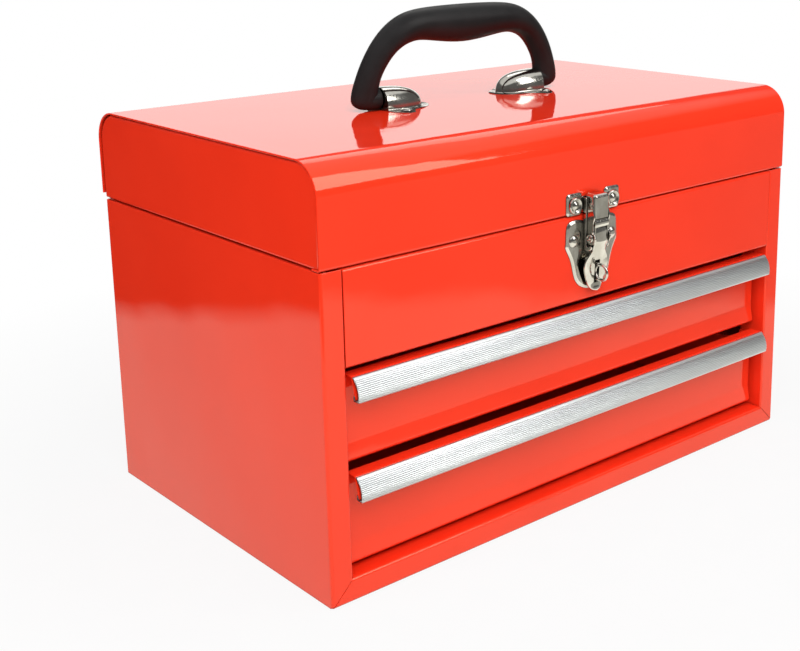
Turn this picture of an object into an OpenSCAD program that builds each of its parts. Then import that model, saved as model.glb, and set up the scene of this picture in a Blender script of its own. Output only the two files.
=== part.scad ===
// Portable steel tool box: a hinged lid over a top bay, two drawers below it,
// a folding carrying handle and a toggle latch. Millimetres, +Z up.
// Origin: centre of the base on the ground. +X is to the right, the front faces -Y.

/* [Box] */
// Overall width of the box
box_w = 430; // [380:1:560]
// Depth of the box body, front to back
box_d = 265; // [240:1:340]
// Height of the body, ground to the lid seam
body_h = 208; // [204:1:280]
// Thickness of the casing sheet
sheet_t = 1.2; // [0.8:0.1:1.4]
// Width of the front stiles beside the drawers
stile_w = 15.5; // [14:0.5:18]
// Depth of the return walls behind the stiles
stile_return = 22.5; // [18:0.5:26]
// Height of the front bottom rail
rail_h = 15.5; // [14:0.5:18]
// Depth of the bottom rail's top, front to back
rail_return = 14.5; // [10:0.5:17]
// Height of the front panel above the drawers
front_panel_h = 60; // [56:0.5:66]

/* [Lid] */
// Height of the lid above the seam
lid_h = 62.5; // [58:0.5:90]
// Outside radius of the lid's front and back bends
lid_bend_r = 21; // [14:0.5:26]
// How far the lid stands out behind the body
lid_overhang = 4; // [4:0.1:5]
// Open seam between the lid and the body
seam_gap = 0.5; // [0.4:0.1:0.8]
// How far the lid's edge stands past its pressed ends
lid_end_inset = 1; // [0.5:0.1:2]

/* [Drawers] */
// Gap at each side of a drawer front
front_side_gap = 4; // [3.6:0.1:5]
// How far the drawer fronts lie behind the stiles
front_recess = 10; // [8:0.5:11]
// Thickness of the drawer sheet
drawer_t = 1; // [0.8:0.1:1.2]
// Open gap above each drawer front
drawer_gap = 5.5; // [5:0.1:8]
// Open gap between the bottom rail and the lower drawer front
front_bottom_gap = 3.7; // [3.1:0.1:8]
// How much taller the lower drawer front is than the upper one
lower_extra = 3.8; // [0:0.1:10]
// How much lower a drawer's tray is than its front
tray_drop = 12; // [11:0.5:20]
// Height of the ribbed pulls
pull_h = 15; // [12:0.5:17]
// How far the pulls stand out in front of the stiles
pull_out = 6.3; // [5:0.1:8]

/* [Hinge] */
// Radius of the hinge knuckles
knuckle_r = 2.3; // [2:0.05:2.4]
// Radius of the hinge pin
hinge_pin_r = 1; // [0.8:0.05:1.2]
// Length of one hinge knuckle
knuckle_len = 25; // [15:1:40]
// Height of each hinge leaf
leaf_h = 14; // [10:0.5:18]

/* [Handle] */
// Distance between the centres of the handle's two feet
handle_span = 169; // [150:1:200]
// Rise of the grip's bar above the handle's pivots
handle_rise = 47.7; // [40:0.5:60]
// Radius of the grip, which its legs and its middle vary on
grip_r = 11; // [10:0.1:12.5]
// How far the handle lies in front of the middle of the body
handle_forward = 2; // [0:0.5:6]
// How far the standing handle leans to the front, in degrees
handle_lean = 4.5; // [0:0.5:8]
// Height of the handle's pivots above the lid
pivot_h = 8; // [7.8:0.1:9]
// Radius of the steel core of the handle
core_r = 3.5; // [3:0.1:4]
// Length of each domed handle bracket
dome_l = 36; // [30:0.5:40]
// Half width of each domed bracket
dome_w = 12; // [11:0.5:14]
// Height of each domed bracket
dome_h = 15.5; // [15:0.5:18]

/* [Latch] */
// How far the latch lies to the right of the middle
latch_x = 3; // [-10:0.5:10]
// Half width of the shield-shaped base plate
shield_w = 25; // [23:0.5:28]
// Thickness of the latch sheet
latch_t = 1.2; // [1:0.1:1.4]
// Half width of the claw
claw_w = 8; // [5.7:0.1:8.4]
// Radius of the latch pins
latch_pin_r = 1.5; // [1.2:0.1:1.7]
// Radius of the hole in the padlock eye
eye_hole_r = 4.3; // [3:0.1:5]
// Outside radius of the padlock eye
eye_r = 6.3; // [6:0.1:7.6]
// Thickness of the padlock eye
eye_t = 2; // [1.5:0.1:2.4]
// How far the claw hooks over the strike
hook_grip = 0.5; // [0.1:0.05:0.5]

/* [Fits] */
// Running clearance round a pin
pin_play = 0.06; // [0.02:0.01:0.1]
// Clearance between sliding faces
slide_play = 0.3; // [0.2:0.05:0.5]
// Clearance round a rivet's shank
rivet_play = 0.05; // [0.02:0.01:0.1]

/* [Hidden] */
$fn = 48;

PAINT = [0.90, 0.16, 0.09];
PAINT_IN = [0.82, 0.14, 0.08];
CHROME = [0.78, 0.78, 0.76];
STEEL = [0.62, 0.63, 0.64];
ALUMINIUM = [0.86, 0.87, 0.87];
RUBBER = [0.12, 0.12, 0.12];

// Casing
bend_r = 1;                                   // inside radius of the casing's small bends
bend_out = bend_r + sheet_t;                  // the same bend outside
half_w = box_w / 2;
front_y = -box_d / 2;
back_y = box_d / 2;
wall_x = half_w - sheet_t;                    // inner face of a side wall
stile_x = half_w - stile_w;                   // opening edge of a stile
stile_back = front_y + stile_return;          // back edge of a stile's return wall
flange_back = 12;                             // width of the side panels' back flanges
rim_w = 5;                                    // width of the side panels' top rims
rim_back = 8;                                 // width of the back panel's top rim
back_in = back_y - 2 * sheet_t;               // inner face of the back panel
pan_gap = 0.2;                                // open line between neighbouring sheets
rim_end = back_in - rim_back - pan_gap;       // the side panels' rims stop short of the back's
pan_flange = 14;                              // height of the base pan's back flange
front_panel_z = body_h - front_panel_h;       // bottom edge of the front panel
floor_z = front_panel_z + sheet_t;            // underside of the bay floor
floor_flange = 12;                            // depth of the bay floor's side flanges

// Lid
lid_z = body_h + seam_gap;
lid_top = lid_z + lid_h;
lid_back = back_y + lid_overhang;
lid_rim = 7;                                  // depth of the lid ends' pressed rim
lid_hem = 8;                                  // width of the fold at the lid's front edge
wrap_back_z = lid_z + 3.5;                    // bottom edge of the lid's back wall
end_x = half_w - lid_end_inset;               // outer face of a lid end

// Hinge
hinge_y = lid_back - knuckle_r;
hinge_z = lid_z + 0.8;
leaf_t = 1;
hinge_half = floor((half_w - flange_back - 1) / knuckle_len) * knuckle_len;
knuckle_gap = 0.3;
leaf_clear = knuckle_r + 0.3;                 // how far a leaf stays from the other leaf's knuckles

// Drawers
drawer_space = front_panel_z - rail_h - front_bottom_gap - 2 * drawer_gap;   // for both fronts
upper_front_h = (drawer_space - lower_extra) / 2;
lower_front_h = upper_front_h + lower_extra;
lower_bottom = rail_h + front_bottom_gap;
lower_top = lower_bottom + lower_front_h;
upper_bottom = lower_top + drawer_gap;
upper_top = upper_bottom + upper_front_h;
upper_tray_h = upper_front_h - tray_drop;
lower_tray_h = lower_front_h - tray_drop;
front_x = stile_x - front_side_gap;           // half width of a drawer front
face_y = front_y + front_recess;
face_kick = 2.2;                              // how far a front's bottom edge leans forward
face_hem = 12;                                // depth of the fold under a front
front_flange = 10;                            // depth of a front's side flanges
tray_x = front_x - 4;                         // half width of a tray
lip_x = stile_x - 1.2;                        // half width over a tray's lips
tray_back = back_in - 1;
tray_front = face_y + drawer_t;
lip_front = face_y + front_flange + 1;
rail_x = tray_x + 1.5;                        // inner edge of a body rail
rail_front = stile_back + 1;
rail_back = back_y - 14;
rail_top_play = 0.8;
stop_x = lip_x + 8.5;                         // outer edge of a drawer's stop tab
stop_y = rail_back - 23;                      // front edge of a stop tab
stop_l = 12;

// Pulls
pull_t = 1.2;
pull_lean = 0.3;                              // the pull's bottom edge lies this far behind its bulge
pull_top_in = 0.8;                            // the pull's top edge lies this far in front of the stiles
hook_h = 3.4;                                 // height of the hook behind the front's lip
pull_sag = 2.4;                               // bulge of the pull's arc over its chord
lip_lean = 3.6;                               // the front's lip reaches this far forward at its bottom
lip_in = 0.6;                                 // and starts this far behind the stiles' face at its top

// Handle
pivot_z = lid_top + pivot_h;
handle_y = -handle_forward;
foot_x = handle_span / 2;
bracket_x = foot_x - 10.5;                    // flat side of a bracket
elbow_r = 6;                                  // radius of the core's turned-in ends
core_bend = handle_rise - elbow_r - 0.2;      // radius of the core's upper bends
foot_r = pivot_h - 0.4;                       // the feet roll over the lid inside this radius
collar_r = 5;
bracket_t = 1.2;
bracket_wall = 1.5;
collar_x = bracket_x - bracket_wall - slide_play;   // outer face of the core's inside collars
collar_l = 2;
ear_x = bracket_x - 8.5;
ear_y = 21;
ear_r = 7;
flange_l = dome_l + 4.5;
flange_w = dome_w + 6;

// Rivets
rivet_r = 1.8;
rivet_tail_r = 3.2;
rivet_tail_h = 1;

// Latch: distances out of the front face, and heights over the top of the body
lever_pin = [6, -6];
claw_pin = [6.8, -15.6];
claw_in = claw_w - latch_t;                   // inner half width of the claw
lever_w = claw_in - 0.3;                      // half width of the lever between the claw's sides
lever_in = lever_w - latch_t;
post_w = lever_in - 0.3;                      // half width of the base plate's post
claw_front = 11;                              // front face of the claw
claw_face_z = -2;                             // bottom edge of the claw's front face
claw_top = 14.2;
claw_end_r = 5;
lever_face = 10.4;                            // front face of the lever
lever_roll = lever_face - lever_pin[0];
lug_r = lever_roll - latch_t - 0.3;           // radius of the base plate's lugs, inside the lever's roll
strike_z0 = seam_gap - 0.3;
strike_shift = 1.2;                           // the strike is set to the right of the latch's middle
strike_z1 = strike_z0 + 15;
strike_half = 25.2;
strike_ear = 14.6;
strike_lip = 8;                               // front face of the strike's lip
strike_lip_top = strike_z0 + 6.6;
strike_tab_z = strike_z0 + 3.2;
strike_tab_w = claw_in - 0.5;
strike_rivet = [17.9, strike_z0 + 7];
shield_top = -3;
shield_bottom = -52.5;
shield_rivet = [17.9, -17];
eye_at = [9.6, -40];

// Lid stay: both of its studs lie stay_r from the hinge line, so it turns half as far as the lid
stay_r = 34;
stay_half = 20;                               // angle of each stud from the seam, seen from the hinge
lid_travel = 95;
stay_y = hinge_y - stay_r * cos(stay_half);
stay_dz = stay_r * sin(stay_half);
stay_slot0 = 2 * stay_r * sin(stay_half);
stay_slot1 = 2 * stay_r * sin(stay_half + lid_travel / 2);
stay_t = 1.5;
stay_w = 4.5;                                 // half width of the arm
stay_x = end_x - lid_rim - 0.8;               // outer face of the arm
stud_r = 1.75;
stud_spacer_r = 2.5;
stud_weld_r = 4;
stay_play = 0.3;                              // end play of the arm on its studs
stud_head_r = 3.2;
stud_head_t = 1.2;

// ---- Shared shapes ------------------------------------------------------------------------

function unit(v) = v / norm(v);
function left(v) = [-v[1], v[0]];
function turned(v, a) = [v[0] * cos(a) - v[1] * sin(a), v[0] * sin(a) + v[1] * cos(a)];
function turn(u, v) = atan2(u[0] * v[1] - u[1] * v[0], u * v);
function flat(p) = [p[0], p[1]];
function arc(c, r, a0, a1, n = 8) =
    [for (i = [0:n]) c + r * [cos(a0 + (a1 - a0) * i / n), sin(a0 + (a1 - a0) * i / n)]];

// Middle line of a bent sheet as [point, left normal]; a corner [x, y, r] bends round r inside
function bend_line(path, t) = [for (i = [0:len(path) - 1])
    let (u = i > 0 ? unit(flat(path[i]) - flat(path[i - 1])) : unit(flat(path[1]) - flat(path[0])))
    let (v = i < len(path) - 1 ? unit(flat(path[i + 1]) - flat(path[i])) : u)
    let (a = turn(u, v), s = sign(a))
    let (rc = (len(path[i]) > 2 ? path[i][2] : bend_r) + t / 2, n = rc > 6 ? 14 : 4)
    let (c = flat(path[i]) - u * rc * tan(abs(a) / 2) + left(u) * s * rc)
    each s == 0 ? [[flat(path[i]), left(u)]]
        : [for (k = [0:n]) let (m = turned(left(u), a * k / n)) [c - m * s * rc, m]]];

function bent(path, t) = let (line = bend_line(path, t)) concat(
    [for (q = line) q[0] + q[1] * t / 2],
    [for (i = [len(line) - 1:-1:0]) line[i][0] - line[i][1] * t / 2]);

// Extrudes a [y, z] outline from x0 to x1
module along_x(x0, x1) translate([x0, 0, 0]) rotate([90, 0, 90]) linear_extrude(x1 - x0) children();

// Extrudes an [x, z] outline from y0 to y1
module along_y(y0, y1) translate([0, y1, 0]) rotate([90, 0, 0]) linear_extrude(y1 - y0) children();

// A box from one corner to the other
module block(a, b) translate(a) cube(b - a);

// A round bar along X or Y
module bar_x(r, x0, x1, y, z) translate([x0, y, z]) rotate([0, 90, 0]) cylinder(r = r, h = x1 - x0);
module bar_y(r, y0, y1, x, z) translate([x, y1, z]) rotate([90, 0, 0]) cylinder(r = r, h = y1 - y0);

// The same shape on both sides of the box
module both_sides() {
    children();
    mirror([1, 0, 0]) children();
}

// A closed skin over rings that all have the same number of points
module loft(rings) {
    n = len(rings[0]);
    m = len(rings);
    polyhedron(
        points = [for (ring = rings) each ring],
        faces = concat(
            [[for (k = [0:n - 1]) k]],
            [for (i = [0:m - 2], k = [0:n - 1])
                let (a = i * n + k, b = i * n + (k + 1) % n) each [[a, a + n, b], [b, a + n, b + n]]],
            [[for (k = [n - 1:-1:0]) (m - 1) * n + k]]));
}

// A place in front of the casing's front face, as [y, z]
function out(p, z) = [front_y - p, z];

// ---- Casing -------------------------------------------------------------------------------

// Side wall with its back flange, front stile, return wall and top rim, for the right side
module side_panel() {
    mid = half_w - sheet_t / 2;
    path = [[half_w - flange_back, back_y - sheet_t / 2], [mid, back_y - sheet_t / 2],
        [mid, front_y + sheet_t / 2], [stile_x + sheet_t / 2, front_y + sheet_t / 2],
        [stile_x + sheet_t / 2, stile_back]];
    difference() {
        union() {
            linear_extrude(body_h) polygon(bent(path, sheet_t));
            block([wall_x - rim_w, front_y + bend_out, body_h - sheet_t], [mid, rim_end, body_h]);
        }
        // mitre against the bottom rail
        along_y(front_y - 1, front_y + bend_out + 0.3) polygon([[half_w + 1, -1], [half_w + pan_gap, 0],
            [half_w - stile_w - 2, rail_h + 2 + pan_gap], [half_w - stile_w - 2, -1]]);
        block([stile_x - 1, front_y + bend_out, -1], [half_w - bend_out - 1, stile_back + 1, rail_h]);
    }
}

module left_side_panel() color(PAINT) mirror([1, 0, 0]) side_panel();
module right_side_panel() color(PAINT) side_panel();

module back_panel() color(PAINT) {
    mid = back_in + sheet_t / 2;
    top = body_h - sheet_t / 2;
    panel_x = wall_x - bend_r;
    along_x(-panel_x, panel_x) polygon(bent([[mid, 0], [mid, top], [back_in - rim_back, top]], sheet_t));
}

// Bottom sheet, bent up at the back and round the front rail
module base_pan() color(PAINT) {
    s = sheet_t / 2;
    pan_x = wall_x - pan_gap;
    difference() {
        along_x(-half_w, half_w) polygon(bent([[back_in - s, pan_flange], [back_in - s, s],
            [front_y + s, s], [front_y + s, rail_h - s], [front_y + rail_return, rail_h - s]], sheet_t));
        both_sides() {
            block([pan_x, front_y + bend_out, -1], [half_w + 1, back_y, pan_flange + 10]);
            block([stile_x + sheet_t, front_y + bend_out, sheet_t + 0.5],
                [half_w, front_y + rail_return + 1, rail_h + 1]);
            along_y(front_y - 1, front_y + bend_out + 0.3) polygon([[half_w + 2, -2 - pan_gap],
                [half_w - stile_w - 3, rail_h + 3 - pan_gap], [half_w + 2, rail_h + 3]]);
        }
    }
}

// Front wall of the top bay, folded in at its top, bottom and sides
module front_panel() color(PAINT) {
    s = sheet_t / 2;
    edge = stile_x - pan_gap;
    difference() {
        union() {
            along_x(-edge, edge) polygon(bent([[front_y + lid_hem, body_h - s], [front_y + s, body_h - s],
                [front_y + s, front_panel_z + s], [front_y + 15, front_panel_z + s]], sheet_t));
            both_sides() block([edge - sheet_t, front_y + bend_r, front_panel_z + s],
                [edge, stile_back - 2, body_h - bend_r]);
        }
        for (side = [-1, 1]) bar_y(rivet_r + rivet_play, front_y - 1, front_y + sheet_t + 1,
            latch_x + side * shield_rivet[0], body_h + shield_rivet[1]);
    }
}

// Floor of the top bay, with flanges down the side walls
module bay_floor() color(PAINT_IN) {
    notch = stile_back + 0.5;
    block([-wall_x, notch, floor_z], [wall_x, back_in, floor_z + sheet_t]);
    tongue = stile_x - pan_gap - sheet_t - 0.3;
    block([-tongue, front_y + bend_out, floor_z], [tongue, notch, floor_z + sheet_t]);
    both_sides() block([wall_x - sheet_t, notch + 4, floor_z - floor_flange],
        [wall_x, back_in - 2, floor_z + sheet_t / 2]);
}

// Channel on the right side wall that the drawer's lip at height lip_z slides in
module body_rail(lip_z) color(STEEL) {
    low = lip_z - drawer_t - slide_play - sheet_t / 2;
    high = lip_z + rail_top_play + sheet_t / 2;
    mid = wall_x - sheet_t / 2;
    along_y(rail_front, rail_back)
        polygon(bent([[rail_x, low], [mid, low, 0.3], [mid, high, 0.3], [rail_x + 1, high]], sheet_t));
}

upper_lip_z = upper_bottom + drawer_t + upper_tray_h;
lower_lip_z = lower_bottom + drawer_t + lower_tray_h;
module upper_rail_left() mirror([1, 0, 0]) body_rail(upper_lip_z);
module upper_rail_right() body_rail(upper_lip_z);
module lower_rail_left() mirror([1, 0, 0]) body_rail(lower_lip_z);
module lower_rail_right() body_rail(lower_lip_z);

// ---- Piano hinge --------------------------------------------------------------------------

// Knuckles number first, first + 2 and so on, joined to their leaf
module knuckles(first, leaf_y, leaf_z) {
    count = 2 * hinge_half / knuckle_len;
    for (i = [first:2:count - 1]) {
        x0 = -hinge_half + i * knuckle_len + knuckle_gap / 2;
        x1 = x0 + knuckle_len - knuckle_gap;
        bar_x(knuckle_r, x0, x1, hinge_y, hinge_z);
        end_z = leaf_z + 0.5 * sign(leaf_z - hinge_z);
        block([x0, leaf_y, min(end_z, hinge_z)], [x1, leaf_y + leaf_t, max(end_z, hinge_z)]);
    }
}

module hinge_bore() bar_x(hinge_pin_r + pin_play, -half_w, half_w, hinge_y, hinge_z);

module hinge_body_leaf() color(STEEL) {
    leaf_y = back_y - sheet_t;
    top = hinge_z - leaf_clear;
    difference() {
        union() {
            block([-hinge_half, leaf_y, top - leaf_h], [hinge_half, leaf_y + leaf_t, top]);
            knuckles(0, leaf_y, top);
        }
        hinge_bore();
    }
}

module hinge_lid_leaf() color(STEEL) {
    leaf_y = lid_back - sheet_t - leaf_t;
    low = hinge_z + leaf_clear;
    difference() {
        union() {
            block([-hinge_half, leaf_y, low], [hinge_half, leaf_y + leaf_t, low + leaf_h]);
            knuckles(1, leaf_y, low);
        }
        hinge_bore();
    }
}

module hinge_pin() color(STEEL) {
    bar_x(hinge_pin_r, -hinge_half - 1, hinge_half + 1, hinge_y, hinge_z);
    both_sides() bar_x(hinge_pin_r + 0.6, hinge_half + 0.2, hinge_half + 1, hinge_y, hinge_z);
}

// ---- Lid ----------------------------------------------------------------------------------

// Outline of the lid in [y, z], drawn in by d from the outside of its sheet
function lid_outline(d) = concat(
    [[front_y + d, lid_z]],
    [for (p = arc([front_y + lid_bend_r, lid_top - lid_bend_r], lid_bend_r - d, 180, 90, 14)) p],
    [for (p = arc([lid_back - lid_bend_r, lid_top - lid_bend_r], lid_bend_r - d, 90, 0, 14)) p],
    [[lid_back - d, lid_z]]);

// One sheet over the front, top and back of the lid
module lid_wrap() color(PAINT) {
    s = sheet_t / 2;
    r = lid_bend_r - sheet_t;
    difference() {
        along_x(-half_w, half_w) polygon(bent([[front_y + lid_hem, lid_z + s], [front_y + s, lid_z + s],
            [front_y + s, lid_top - s, r], [lid_back - s, lid_top - s, r], [lid_back - s, wrap_back_z]],
            sheet_t));
        both_sides() block([end_x - lid_rim - 0.2, front_y + sheet_t, lid_z - 1],
            [half_w + 1, front_y + lid_hem + 1, lid_z + sheet_t + 1]);
        for (side = [-1, 1]) {
            bar_y(rivet_r + rivet_play, front_y - 1, front_y + sheet_t + 1,
                latch_x + strike_shift + side * strike_rivet[0], body_h + strike_rivet[1]);
            for (e = [-1, 1]) translate([side * ear_x, handle_y + e * ear_y, lid_top - sheet_t - 1])
                cylinder(r = rivet_r + rivet_play, h = sheet_t + 2);
        }
    }
}

// Pressed end of the lid, with a rim all round that is welded inside the wrap, right side
module lid_end() {
    along_x(end_x - sheet_t, end_x) polygon(lid_outline(sheet_t));
    along_x(end_x - lid_rim, end_x) difference() {
        polygon(lid_outline(sheet_t));
        intersection() {
            polygon(lid_outline(2 * sheet_t));
            translate([front_y, lid_z + sheet_t]) square([box_d + 20, lid_h]);
        }
    }
}

module lid_end_left() color(PAINT) mirror([1, 0, 0]) lid_end();
module lid_end_right() color(PAINT) lid_end();

// ---- Lid stay -----------------------------------------------------------------------------

// Stud welded to a side whose inner face is at wall, through the arm
module stay_stud(wall, z) color(STEEL) {
    head = stay_x - stay_t - stay_play;
    bar_x(stud_weld_r, wall - 1, wall, stay_y, z);
    bar_x(stud_spacer_r, stay_x + stay_play, wall, stay_y, z);
    bar_x(stud_r, head, stay_x + stay_play, stay_y, z);
    bar_x(stud_head_r, head - stud_head_t, head, stay_y, z);
}

module stay_pivot_stud() stay_stud(wall_x, hinge_z - stay_dz);
module stay_slide_stud() stay_stud(end_x - sheet_t, hinge_z + stay_dz);

// Slotted arm, drawn with the lid shut, when it stands upright
module lid_stay() color(STEEL) {
    z0 = hinge_z - stay_dz;
    tip = z0 + stay_slot1 + 1;
    difference() {
        union() {
            block([stay_x - stay_t, stay_y - stay_w, z0], [stay_x, stay_y + stay_w, tip]);
            bar_x(stay_w, stay_x - stay_t, stay_x, stay_y, z0);
            bar_x(stay_w, stay_x - stay_t, stay_x, stay_y, tip);
        }
        bar_x(stud_r + pin_play, stay_x - stay_t - 1, stay_x + 1, stay_y, z0);
        slot_r = stud_r + 0.1;
        for (s = [stay_slot0 - 0.3, stay_slot1 + 0.3])
            bar_x(slot_r, stay_x - stay_t - 1, stay_x + 1, stay_y, z0 + s);
        block([stay_x - stay_t - 1, stay_y - slot_r, z0 + stay_slot0 - 0.3],
            [stay_x + 1, stay_y + slot_r, z0 + stay_slot1 + 0.3]);
    }
}

// ---- Handle -------------------------------------------------------------------------------

// Half of the grip's middle line, foot to middle: [share of the foot's distance from the middle,
// share of the rise, then shares of grip_r: half thickness across the bar, half width front to back]
GRIP = [[0.979, -0.150, 0.427, 0.236], [0.995, -0.120, 0.691, 0.445], [1.008, -0.065, 0.886, 0.627],
    [1.012, 0.000, 0.959, 0.691], [1.003, 0.111, 0.923, 0.709], [0.987, 0.244, 0.800, 0.745],
    [0.957, 0.388, 0.764, 0.764], [0.910, 0.540, 0.782, 0.782], [0.837, 0.720, 0.800, 0.836],
    [0.733, 0.885, 0.864, 0.927], [0.600, 0.995, 0.969, 0.982], [0.458, 1.029, 1.002, 1.000],
    [0.245, 1.008, 1.161, 1.018], [0.000, 0.985, 1.282, 1.027]];
grip_n = len(GRIP);
function grip_row(i) = i < grip_n
    ? [GRIP[i][0] * foot_x, GRIP[i][1] * handle_rise, GRIP[i][2] * grip_r, GRIP[i][3] * grip_r]
    : let (q = grip_row(2 * grip_n - 2 - i)) [-q[0], q[1], q[2], q[3]];

// A smooth curve through rows a, b, c and d, at share f of the way from b to c
function blend4(a, b, c, d, f) = 0.5 * ((2 * b) + (c - a) * f + (2 * a - 5 * b + 4 * c - d) * f * f
    + (3 * b - a - 3 * c + d) * f * f * f);
grip_last = 2 * grip_n - 2;
function grip_at(s) = let (i = min(floor(s), grip_last - 1), f = s - i)
    blend4(grip_row(max(i - 1, 0)), grip_row(i), grip_row(i + 1), grip_row(min(i + 2, grip_last)), f);
// The two flat ends are drawn square to the leg, so that the feet stay level
function grip_dir(s) = s < 3 ? [0, 1] : s > grip_last - 3 ? [0, -1]
    : let (a = grip_at(s - 0.2), b = grip_at(s + 0.2)) unit([b[0] - a[0], b[1] - a[1]]);

module grip_body() {
    step = 0.5;
    n = 24;
    translate([0, handle_y, pivot_z]) rotate([handle_lean, 0, 0]) {
        loft([for (s = [0:step:grip_last]) let (q = grip_at(s), d = grip_dir(s))
            [for (k = [0:n - 1]) let (a = -360 * k / n)
                [q[0] - d[1] * q[2] * cos(a), q[3] * sin(a), q[1] + d[0] * q[2] * cos(a)]]]);
        both_sides() bar_x(foot_r, bracket_x + slide_play, foot_x - 2, 0, 0);
    }
}

// Steel rod of the handle: pivots, elbows, legs, upper bends and bar
module core_body() translate([0, handle_y, pivot_z]) rotate([handle_lean, 0, 0]) {
    bend_x = foot_x - core_bend;
    bend_z = handle_rise - core_bend;
    bar_x(core_r, -bend_x, bend_x, 0, handle_rise);
    both_sides() {
        translate([bend_x, 0, bend_z]) rotate([90, 0, 0])
            rotate_extrude(angle = 90) translate([core_bend, 0]) circle(r = core_r);
        translate([foot_x, 0, elbow_r]) cylinder(r = core_r, h = bend_z - elbow_r);
        translate([foot_x - elbow_r, 0, elbow_r]) rotate([90, 0, 0])
            rotate_extrude(angle = -90) translate([elbow_r, 0]) circle(r = core_r);
        bar_x(core_r, collar_x - collar_l, foot_x - elbow_r, 0, 0);
    }
}

module handle_grip() color(RUBBER) difference() {
    grip_body();
    core_body();
}

module handle_core() color(STEEL) {
    core_body();
    translate([0, handle_y, pivot_z]) both_sides()
        bar_x(collar_r, collar_x - collar_l, collar_x, 0, 0);
}

// Domed cover shape: length l, half width w, height h, from its flat side towards the middle
module dome(l, w, h) {
    n = 24;
    rings = 12;
    loft([for (i = [0:rings]) let (f = sin(90 * i / rings), s = pow(1 - pow(min(f, 0.998), 2.6), 1 / 2.6))
        [for (k = [0:n]) let (a = 180 * k / n, c = cos(a), v = sin(a))
            [-l * f, -w * s * sign(c) * pow(abs(c), 2 / 2.5), h * s * pow(v, 2 / 2.5)]]]);
}

// Foot plate of a bracket: half an oval with an ear for a rivet at the front and back
module bracket_plate() {
    intersection() {
        scale([flange_l / flange_w, 1]) circle(r = flange_w);
        translate([-flange_l - 1, -flange_w - 1]) square([flange_l + 1, 2 * flange_w + 2]);
    }
    translate([-8.5, -ear_y]) square([7, 2 * ear_y]);
    for (e = [-1, 1]) {
        translate([-8.5, e * ear_y]) circle(r = ear_r);
        translate([-8.5, e * (ear_y - 7)]) square([17, 14], center = true);
    }
}

module handle_bracket() translate([bracket_x, handle_y, lid_top]) {
    difference() {
        union() {
            linear_extrude(bracket_t) difference() {
                bracket_plate();
                translate([-dome_l, -dome_w]) square([dome_l - bracket_wall, 2 * dome_w]);
            }
            intersection() {
                linear_extrude(bracket_t) bracket_plate();
                difference() {
                    translate([-dome_l - 1, -dome_w - 1, -1]) cube([dome_l, 2 * dome_w + 2, 5]);
                    dome(dome_l - bracket_t, dome_w - bracket_t, dome_h - bracket_t);
                }
            }
            difference() {
                dome(dome_l, dome_w, dome_h);
                translate([-bracket_wall, 0, -0.01])
                    dome(dome_l - bracket_t - bracket_wall, dome_w - bracket_t, dome_h - bracket_t);
            }
        }
        bar_x(core_r + pin_play, -bracket_wall - 1, 1, 0, pivot_h);
        for (e = [-1, 1]) translate([-8.5, e * ear_y, -1]) cylinder(r = rivet_r + rivet_play, h = 5);
    }
}

module handle_bracket_left() color(CHROME) mirror([1, 0, 0]) handle_bracket();
module handle_bracket_right() color(CHROME) handle_bracket();

// Rivet standing on z = 0 with its shank down through depth
module rivet(head_r, head_h, depth) {
    intersection() {
        translate([0, 0, head_h - head_r * 1.25]) sphere(r = head_r * 1.25);
        cylinder(r = head_r, h = head_h);
    }
    translate([0, 0, -depth]) cylinder(r = rivet_r, h = depth);
    translate([0, 0, -depth - rivet_tail_h]) cylinder(r = rivet_tail_r, h = rivet_tail_h);
}

module handle_bracket_rivets() color(CHROME) both_sides() for (e = [-1, 1])
    translate([ear_x, handle_y + e * ear_y, lid_top + bracket_t]) rivet(4, 1.6, bracket_t + sheet_t);

// ---- Latch --------------------------------------------------------------------------------

// Moves an outline drawn as [distance out, height] to the latch, x0 to x1 from its middle
module latch_slice(x0, x1) translate([latch_x, 0, 0]) along_x(x0, x1)
    translate([front_y, body_h]) mirror([1, 0]) children();

// Extrudes an outline drawn as [x, height] at the latch from depth outside to the casing's face
module latch_face(depth) along_y(front_y - depth, front_y) translate([latch_x, body_h]) children();

module latch_base() color(CHROME) {
    half = [[0, shield_top - 1.5], [9, shield_top - 1.5], [11, shield_top], [19.5, shield_top],
        [shield_w - 2, -5], [shield_w - 0.8, -9], [shield_w - 0.8, -18.5], [shield_w, -20.3],
        [shield_w - 2, -24], [19.6, -30], [17.9, -37], [16.2, -44], [11.8, shield_bottom + 3.5],
        [6, shield_bottom + 0.8], [0, shield_bottom]];
    shape = concat(half, [for (i = [len(half) - 2:-1:1]) [-half[i][0], half[i][1]]]);
    difference() {
        union() {
            latch_face(latch_t) polygon(shape);
            for (side = [-1, 1]) latch_slice(side > 0 ? post_w - latch_t : -post_w,
                side > 0 ? post_w : latch_t - post_w) {
                translate(lever_pin) circle(r = lug_r);
                polygon([[latch_t / 2, -11.5], [latch_t / 2, -3], [lever_pin[0], lever_pin[1] + lug_r],
                    [lever_pin[0] + lug_r, lever_pin[1]]]);
            }
        }
        latch_slice(-10, 10) translate(lever_pin) circle(r = latch_pin_r + pin_play);
        for (side = [-1, 1]) bar_y(rivet_r + rivet_play, front_y - latch_t - 1, front_y + 1,
            latch_x + side * shield_rivet[0], body_h + shield_rivet[1]);
    }
}

module latch_base_rivets() color(CHROME) for (side = [-1, 1])
    translate([latch_x + side * shield_rivet[0], front_y - latch_t, body_h + shield_rivet[1]])
        rotate([90, 0, 0]) rivet(4.2, 2, latch_t + sheet_t);

// Loop that stands through the lever's slot
module padlock_eye() color(CHROME) latch_slice(-eye_t / 2, eye_t / 2) difference() {
    union() {
        translate(eye_at) circle(r = eye_r);
        translate([latch_t, eye_at[1] - eye_r]) square([eye_at[0] - latch_t, 2 * eye_r]);
    }
    translate(eye_at) circle(r = eye_hole_r);
}

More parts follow.
